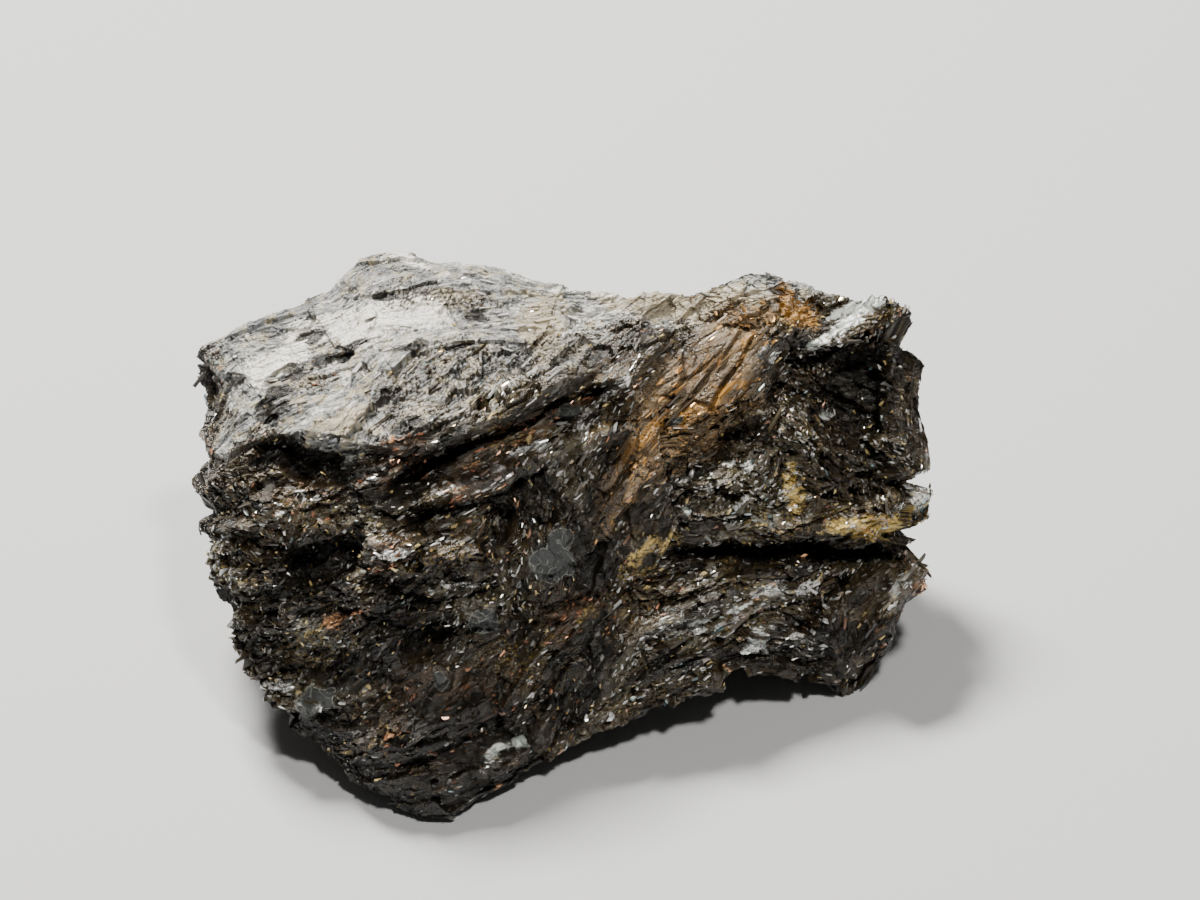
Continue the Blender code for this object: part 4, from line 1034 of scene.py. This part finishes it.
# rock coloured by lot and tint, then bronze, dust, orange, painted shade, glass, crust with painted white
# glints, and painted highlights, glints and brassy grains over it
def skinMaterial(look):
    n = Nodes("broken skin", look["ior"])
    fleck, inGlass = n.mask("fleck"), n.mask("glass")
    streak = n.noise(*look["streaks"], n.fibres(*look["streakStretch"]))
    fine = n.mixValue(look["streakShare"], fleck, streak)
    lot = n.mixValue(look["fineShare"], n.mask("tone"), fine)
    rock = n.layered(n.ramp(lot, *look["rock"]), lot, look["tints"])
    blotch = n.times(n.patches(*look["blotches"]), n.mask("bronze"))
    bronze = n.mixColour(blotch, n.ramp(lot, *look["bronze"]), "bronzeGrey")
    colour = n.mixColour(n.mask("bronze"), rock, bronze)
    silky = n.mixValue(look["silkShare"], lot, n.ramp(streak, *look["silk"]))
    dust = n.mixColour(n.patches(*look["warm"]), n.ramp(silky, *look["dust"]), "straw")
    cool = n.patches(*look["cool"], place=n.fibres(*look["coolStretch"]))
    dust = n.layered(n.mixColour(cool, dust, "blueGrey"), lot, look["dustTints"])
    colour = n.mixColour(n.mask("dust"), colour, dust)
    colour = n.mixColour(n.mask("orange"), colour, "orange")
    # painted shade in grooves, hollows and shaded patches
    colour = n.mixColour(n.ramp(n.mask("deep"), *look["shade"]), colour, "black")
    cracks = n.times(n.patches(*look["cracks"]), n.patches(*look["breaks"]))
    colour = n.mixColour(inGlass, colour, n.mixColour(cracks, "glass", "crack"))
    speck = n.patches(*look["specks"])
    colour = n.mixColour(n.times(n.ramp(inGlass, *look["rim"]), speck), colour, "crack")
    colour = n.layered(colour, lot, look["crustAndGlint"])
    # painted highlights and glints, and brassy grains, spread over the speckles
    for label, low in look["faces"]:
        shades = n.ramp(lot, *zip(look["faceStops"], (low, label)))
        colour = n.mixColour(n.times(n.mask(label), speck), colour, shades)
    rough = n.ramp(fleck, *look["rough"])
    rough = n.mixValue(n.mask("dust"), rough, n.ramp(silky, *look["dustRough"]))
    rough = n.mixValue(n.mask("creamAndHighlight"), rough, look["creamRough"])
    rough = n.mixValue(inGlass, rough, look["glassRough"])
    streaky = n.bump(streak, *look["streakBump"])
    grainy = n.bump(n.noise(*look["grain"]), *look["grainBump"], streaky)
    return n.finish(colour, rough, Normal=grainy)


skin = growStone()
lots = 0.5 * skin["tone"] + 0.5 * skin["fleck"]
skinMasks, zone, shadeAndDark = paintMasks(skin["grid"], skin["smoothNormals"], lots, skin["fleck"])
# silvery faces and painted highlights lie in strips as wide as a fibre or two
strips = ease(lumps(skin["lathSpace"] * paint["strips"], 1.0, 38), *paint["stripEdge"])
for label in ("silverAndHighlight", "paintedGlint"):
    skinMasks[label] = skinMasks[label] * strips
# the zone, lifted by painted light and lowered by painted shade, swings with streaks and blotches of paler
# and darker laths
streaks = lumps(skin["lathSpace"] * paint["streaks"], 1.0, 36)
streaks += paint["blotches"] * lumps(skin["grid"], paint["blotchSize"], 37)
skin["zone"] = np.clip(zone + paint["zoneSwing"] * streaks, -1, 1)


# a lath's tone: its lot, moved up or down by the zone it lies in, which holds painted light and shade
def toned(lot, zone):
    least, byLot, byZone = paint["tone"]
    return np.clip(least + byLot * lot + byZone * zone, 0, 1)


skinMasks["tone"] = toned(skin["tone"], skin["zone"])
skinMasks["fleck"] = skin["fleck"]
# painted shade: depth below the surroundings, plus the patches of painted shade and darker rock
skinMasks["deep"] = np.clip(skin["deep"] + paint["shadeDepth"] * shadeAndDark, *recessShade["range"])
note("form")

# rows and columns of the grid that each piece of skin covers
frontAndTop, allRound = sum(stone["columns"][:2]), sum(stone["columns"])
allRows = np.arange(stone["along"])
third = stone["along"] // 3
skinPieces = {
    "skin-left": (allRows[: third + 1], (0, frontAndTop)),
    "skin-middle": (allRows[third : 2 * third + 1], (0, frontAndTop)),
    "skin-right": (allRows[2 * third :], (0, frontAndTop)),
    "skin-back": (np.append(0, allRows[1::2]), (frontAndTop, allRound)),  # only every second row
}


# one block of the skin, with what the masks say at the grid's points
def makeSkin(name, rows, columns, material):
    triangles = blockTriangles(skin["grid"], rows, columns)
    points, faces, used = closedBlock(skin["grid"], triangles)
    masks = {label: values.ravel()[used] for label, values in skinMasks.items()}
    masks["lathSpace"] = skin["lathSpace"].reshape(-1, 3)[used]
    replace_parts(makeMesh(name, points, faces, masks, material), "nuummite")


skinStone = skinMaterial(skinLook)
for name, (rows, columns) in skinPieces.items():
    makeSkin(name, rows, columns, skinStone)


# least and most of each blade's own shape, as shares of half its width or thickness
blade = {
    "skew": (-1.0, 1.0),
    "slope": (0.0, 1.4),
    "taper": (0.5, 1.0),
    "crest": (0.35, 0.95),
    "shear": (-0.35, 0.35),
    "sizes": (0.7, 1.35),  # times its length, width and thickness
    "lowest": 0.3,  # height of the lowest centre, in millimetres
}


# The small laths are blades that stand out of the skin. Their corners are centre + along * (end *
# length / 2 + cut) + beside * side * width / 2 * taper + out * level * thickness / 2 * taper. The cut
# slopes each end, the crest makes the top narrower than the foot, and the shear moves it sideways.
def lathCorners(centre, along, out, size, chance):
    count = len(centre)
    beside = np.cross(out, along)
    end = np.array([-1.0, 1.0])[None, :, None]
    side = np.array([-1.0, 1.0, 1.0, -1.0])[None, None, :]
    level = np.array([-1.0, -1.0, 1.0, 1.0])[None, None, :]
    length, width, thick = (size[:, k, None, None] / 2 for k in range(3))
    cut = chance.uniform(*blade["skew"], (count, 2, 1)) * width * side
    cut = cut - end * chance.uniform(*blade["slope"], (count, 2, 1)) * thick * level
    taper = chance.uniform(*blade["taper"], (count, 2, 1))
    crest = np.where(level > 0, chance.uniform(*blade["crest"], (count, 1, 1)), 1.0)
    shear = chance.uniform(*blade["shear"], (count, 1, 1)) * level
    u = end * length + cut
    v = width * (side * taper * crest + shear)
    w = thick * level * taper
    axes = (along, beside, out)
    points = sum(s[..., None] * axis[:, None, None, :] for s, axis in zip((u, v, w), axes))
    return (centre[:, None, None, :] + points).reshape(-1, 3)


# six quads for each lath: four sides and two ends
def lathFaces(count):
    ring = [(c, (c + 1) % 4, (c + 1) % 4 + 4, c + 4) for c in range(4)]
    faces = np.array(ring + [(3, 2, 1, 0), (4, 5, 6, 7)])
    return (faces[None] + 8 * np.arange(count)[:, None, None]).reshape(-1, 4)


# random spots on the skin: quads are drawn by their area times the weight, then a spot in each
def scatter(weight, count, chance):
    grid, around = skin["grid"], skin["grid"].shape[1]
    ahead = np.roll(grid, -1, axis=1)
    area = np.linalg.norm(np.cross(grid[1:] - grid[:-1], (ahead - grid)[:-1]), axis=2)
    share = (area * weight[:-1]).ravel()
    pick = chance.choice(share.size, count, p=share / share.sum())
    i, j = pick // around, pick % around
    u, v = chance.random((2, count, 1))
    k = (j + 1) % around
    low = grid[i, j] * (1 - v) + grid[i, k] * v
    high = grid[i + 1, j] * (1 - v) + grid[i + 1, k] * v
    return i, j, low * (1 - u) + high * u


# turn the sheaf's direction by yaw in the skin, by pitch out of it and by roll about itself
def turned(along, out, yaw, pitch, roll):
    along = unit(along - out * dot(along, out)[:, None])
    yaw, pitch, roll = (np.radians(angle)[:, None] for angle in (yaw, pitch, roll))
    along = np.cos(yaw) * along + np.sin(yaw) * np.cross(out, along)
    along = np.cos(pitch) * along + np.sin(pitch) * out
    out = unit(out - along * dot(along, out)[:, None])
    out = np.cos(roll) * out + np.sin(roll) * np.cross(out, along)
    return along, out


# laths at weighted spots: the sheaf's direction is turned by yaw, pitch and roll, each times a normal
# random number, and the size is multiplied by exp(sizeSpread * a normal random number)
def growLaths(name, form, weight, material):
    chance = np.random.default_rng(form["seed"])
    count = form["count"]
    i, j, at = scatter(weight, count, chance)
    out = unit(skin["smoothNormals"][i, j] + form["followSkin"] * skin["normals"][i, j])
    scatterBy = form["yaw"] * skin["scatter"][i, j] * chance.normal(0, 1, count)
    tilt = form["pitch"] * chance.normal(0, 1, count)
    roll = form["roll"] * chance.normal(0, 1, count)
    along, out = turned(skin["direction"][i, j], out, scatterBy, tilt, roll)
    spread = np.exp(form["sizeSpread"] * chance.normal(0, 1, (count, 1)))
    size = np.array(form["size"]) * spread * chance.uniform(*blade["sizes"], (count, 3))
    size[:, 0] *= skin["fine"][i, j]
    sink = chance.uniform(*form["sink"], (count, 1)) * size[:, 2:]
    centre = at + out * sink
    centre[:, 2] = np.maximum(centre[:, 2], blade["lowest"])
    points = lathCorners(centre, along, out, size, chance)
    points[:, 2] = np.maximum(points[:, 2], 0)
    masks = {label: np.repeat(values[i, j], 8) for label, values in skinMasks.items()}
    masks["tone"] = np.repeat(toned(chance.random(count), skin["zone"][i, j]), 8)
    masks["shine"] = np.repeat(chance.random(count), 8)
    return makeMesh(name, points, lathFaces(count), masks, material)


frontLaths = {
    "seed": 101,
    "count": 1500,
    "size": (0.8, 0.17, 0.14),  # length, width, thickness
    "sizeSpread": 0.35,
    "followSkin": 1.2,
    "yaw": 0.8,  # times the sheaf's own scatter
    "pitch": 5,
    "roll": 30,
    "sink": (-0.5, 0.1),
}

topFibres = {
    "seed": 103,
    "count": 240,
    "size": (0.9, 0.15, 0.1),
    "sizeSpread": 0.3,
    "followSkin": 0.6,
    "yaw": 0.6,
    "pitch": 3,
    "roll": 30,
    "sink": (-0.4, 0.2),
}

bronzeLaths = {
    "seed": 104,
    "count": 60,
    "size": (1.3, 0.17, 0.11),
    "sizeSpread": 0.3,
    "followSkin": 0.3,
    "yaw": 0.7,
    "pitch": 3,
    "roll": 24,
    "sink": (-0.4, 0.4),
}

backLaths = {
    "seed": 105,
    "count": 900,
    "size": (0.6, 0.14, 0.11),
    "sizeSpread": 0.35,
    "followSkin": 0.9,
    "yaw": 1.0,
    "pitch": 5,
    "roll": 26,
    "sink": (-0.4, 0.3),
}

glints = {
    "seed": 106,
    "count": 7500,
    "size": (0.28, 0.14, 0.07),
    "sizeSpread": 0.32,
    "followSkin": 1.0,
    "yaw": 1.8,
    "pitch": 20,
    "roll": 25,
    "sink": (-0.1, 0.9),
}


lathLook = {
    "rock": ((0.0, "black"), (0.45, "umber"), (0.8, "olive"), (1.0, "steel")),
    # tints from the skin's masks, among them painted highlights on silvery fibres and painted white glints on
    # the crust
    "tints": (
        ("copper", 0.85, (0.1, "black"), (0.6, "copper"), (1.0, "copperPale")),
        ("silverAndHighlight", 0.8, (0.2, "umber"), (0.7, "steel"), (1.0, "silverAndHighlight")),
        ("gold", 0.45, (0.2, "umber"), (0.8, "gold")),
        ("bronze", 1, (0.0, "bronzeDark"), (0.6, "bronze"), (1.0, "bronzePale")),
        ("dust", 1, (0.0, "dustDark"), (0.5, "dust"), (1.0, "dustPale")),
        ("crustAndGlint", 1, "crustAndGlint"),
        ("orange", 1, "orange"),
    ),
    "streaks": (2600.0, 3.0),
    "streakShare": 0.5,
    "rough": ((0.0, 0.16), (0.6, 0.34), (1.0, 0.6)),
    "dustRough": 0.7,
    "bump": (0.25, 0.00006),
}


# rock and tints by the lath's tone, darkened by streaks
def lathMaterial(look):
    n = Nodes("dark laths", 1.64)
    tone, streak = n.mask("tone"), n.noise(*look["streaks"])
    colour = n.layered(n.ramp(tone, *look["rock"]), tone, look["tints"])
    colour = n.mixColour(n.times(streak, look["streakShare"]), colour, "black")
    rough = n.mixValue(n.mask("dust"), n.ramp(n.mask("shine"), *look["rough"]), look["dustRough"])
    return n.finish(colour, rough, Normal=n.bump(streak, *look["bump"]))


fibreLook = {
    "grey": ((0.0, "olive"), (0.3, "dustDark"), (0.65, "dust"), (1.0, "dustPale")),
    "patches": (420.0, 4.0, (0.42, 0.0), (0.62, 0.75)),
    # tints, among them cream dust with painted highlight, and crust with painted white glints
    "tints": (
        ("tan", 0.75, "tan"),
        ("creamAndHighlight", 0.85, "creamAndHighlight"),
        ("orange", 1, "orange"),
        ("crustAndGlint", 1, "crustAndGlint"),
    ),
    "rough": ((0.0, 0.3), (0.5, 0.6), (1.0, 0.85)),
    "grainScale": 5200.0,
    "bump": (0.35, 0.00006),
}


# greys by the fibre's tone, with pale patches, then the tints
def fibreMaterial(look):
    n = Nodes("weathered fibres", 1.6)
    tone = n.mask("tone")
    pale = n.mixColour(n.patches(*look["patches"]), n.ramp(tone, *look["grey"]), "dustPale")
    pale = n.layered(pale, tone, look["tints"])
    grain = n.bump(n.noise(look["grainScale"]), *look["bump"])
    return n.finish(pale, n.ramp(n.mask("shine"), *look["rough"]), Normal=grain)


glintLook = {
    "silverAndHighlight": ((0.0, "steel"), (0.6, "silverAndHighlight"), (1.0, "brightGlint")),
    # the dullest glints are brassy, and the brightest blue-green
    "ends": (("brass", (0.08, 0.8), (0.18, 0.0)), ("paintedTealGlint", (0.95, 0.0), (0.98, 0.45))),
    # the glints take painted highlight and glint colours where the skin has them
    "tints": (
        ("copper", 1, (0.0, "copper"), (1.0, "copperGlint")),
        ("bronze", 1, "bronzeGlint"),
        ("paintedGlint", 1, "paintedGlint"),
        ("paintedOrangeGlint", 1, "paintedOrangeGlint"),
    ),
    "rough": ((0.0, 0.12), (1.0, 0.35)),
}


# silvers by the glint's tone, its two ends by its shine, then the tints
def glintMaterial(look):
    n = Nodes("glints", 1.7, 0.55)
    tone, shine = n.mask("tone"), n.mask("shine")
    colour = n.ramp(tone, *look["silverAndHighlight"])
    for label, *stops in look["ends"]:
        colour = n.mixColour(n.ramp(shine, *stops), colour, label)
    return n.finish(n.layered(colour, tone, look["tints"]), n.ramp(shine, *look["rough"]))


lathStone = lathMaterial(lathLook)
growth = {
    "rustLoss": 0.8,  # how many fewer front laths stand on bronze, and back laths in dust
    "dustLoss": 0.5,
    "leastLaths": 0.002,
    "clearOfFloor": 0.4,
    "glintZone": (-0.4, 0.8),
    "dullGlints": 0.3,  # share of the glints in the darkest zones, and on the back
    "hiddenGlints": 0.4,
    "leastGlints": 0.01,
    "faceGlints": 2,  # added weight on bright faces
}

# where the small laths grow, as the weight of each quad of the skin
shown = ease(skin["smoothNormals"] @ faceOut, *paint["facing"])
weathered, rusty = skinMasks["dust"], skinMasks["bronze"] * shown
standing = skin["grid"][..., 2] > growth["clearOfFloor"]
bare = 1 - weathered
zoned = growth["dullGlints"] + (1 - growth["dullGlints"]) * ease(skin["zone"], *growth["glintZone"])
facing = growth["hiddenGlints"] + (1 - growth["hiddenGlints"]) * shown
sparkling = bare * zoned * facing + growth["leastGlints"]
# more glints grow on the painted highlights and glints, fewer on glassy grains
sparkling += growth["faceGlints"] * (skinMasks["paintedGlint"] + skinMasks["paintedOrangeGlint"]) - sparkling * skinMasks["glass"]
frontal = shown * bare * (1 - growth["rustLoss"] * rusty) + growth["leastLaths"]
fibrous = weathered * ease(skin["smoothNormals"][..., 2], *paint["topFacing"])
hidden = (1 - shown) * (1 - growth["dustLoss"] * weathered) * standing
growLaths("front-laths", frontLaths, frontal, lathStone)
growLaths("top-fibres", topFibres, fibrous, fibreMaterial(fibreLook))
growLaths("bronze-laths", bronzeLaths, rusty * bare, lathStone)
growLaths("back-laths", backLaths, hidden, lathStone)
growLaths("glints", glints, sparkling, glintMaterial(glintLook))

studio = {
    "target": (0.00271, 0.00972, 0.012),
    "elevation": 42.0,
    "distance": 0.33,
    "lens": 133.65,
    "floor": 3.0,
    # direction from the target, then distance, size and power
    "lights": {
        "key": ((-0.32, 0.5, 0.95), 0.5, 0.12, 8.3),
        "fill": ((0.2, -0.32, 1.0), 0.6, 0.06, 2.8),
    },
    "lampColour": (1.0, 0.965, 0.905),
    "sky": 0.07,
    "skyColour": (1.0, 0.98, 0.95, 1.0),
    "film": 36.0,
    "near": 0.01,
}


# at its place, with its -Z axis towards the target
def aimed(thing, place, target):
    thing.location = place
    thing.rotation_euler = (Vector(target) - Vector(place)).to_track_quat("-Z", "Y").to_euler()
    bpy.context.scene.collection.objects.link(thing)


# a square lamp at target + direction of unit length * distance
def softLight(name, direction, distance, size, power):
    lamp = bpy.data.lights.new(name, "AREA")
    lamp.size, lamp.energy, lamp.color = size, power, studio["lampColour"]
    place = Vector(studio["target"]) + Vector(direction).normalized() * distance
    aimed(bpy.data.objects.new(name, lamp), place, studio["target"])


# a square at z = 0, half its side each way
def paleFloor():
    half = studio["floor"] / 2
    mesh = bpy.data.meshes.new("floor")
    corners = [(-half, -half, 0), (half, -half, 0), (half, half, 0), (-half, half, 0)]
    mesh.from_pydata(corners, [], [(0, 1, 2, 3)])
    mesh.materials.append(Nodes("pale floor", 1.45).finish("floor", 0.9))
    floor = bpy.data.objects.new("floor", mesh)
    bpy.context.scene.collection.objects.link(floor)


# the camera stands at target + distance * (0, -cos elevation, sin elevation)
def lightAndCamera():
    for name, light in studio["lights"].items():
        softLight(name, *light)
    world = bpy.data.worlds.new("soft room")
    bpy.context.scene.world = world
    world.use_nodes = True
    background = world.node_tree.nodes["Background"].inputs
    background["Color"].default_value = studio["skyColour"]
    background["Strength"].default_value = studio["sky"]
    lens = bpy.data.cameras.new("camera")
    lens.lens, lens.sensor_width, lens.clip_start = studio["lens"], studio["film"], studio["near"]
    camera = bpy.data.objects.new("camera", lens)
    up = math.radians(studio["elevation"])
    offset = Vector((0.0, -math.cos(up), math.sin(up))) * studio["distance"]
    aimed(camera, Vector(studio["target"]) + offset, studio["target"])
    bpy.context.scene.camera = camera


paleFloor()
lightAndCamera()
note("floor, light and camera")
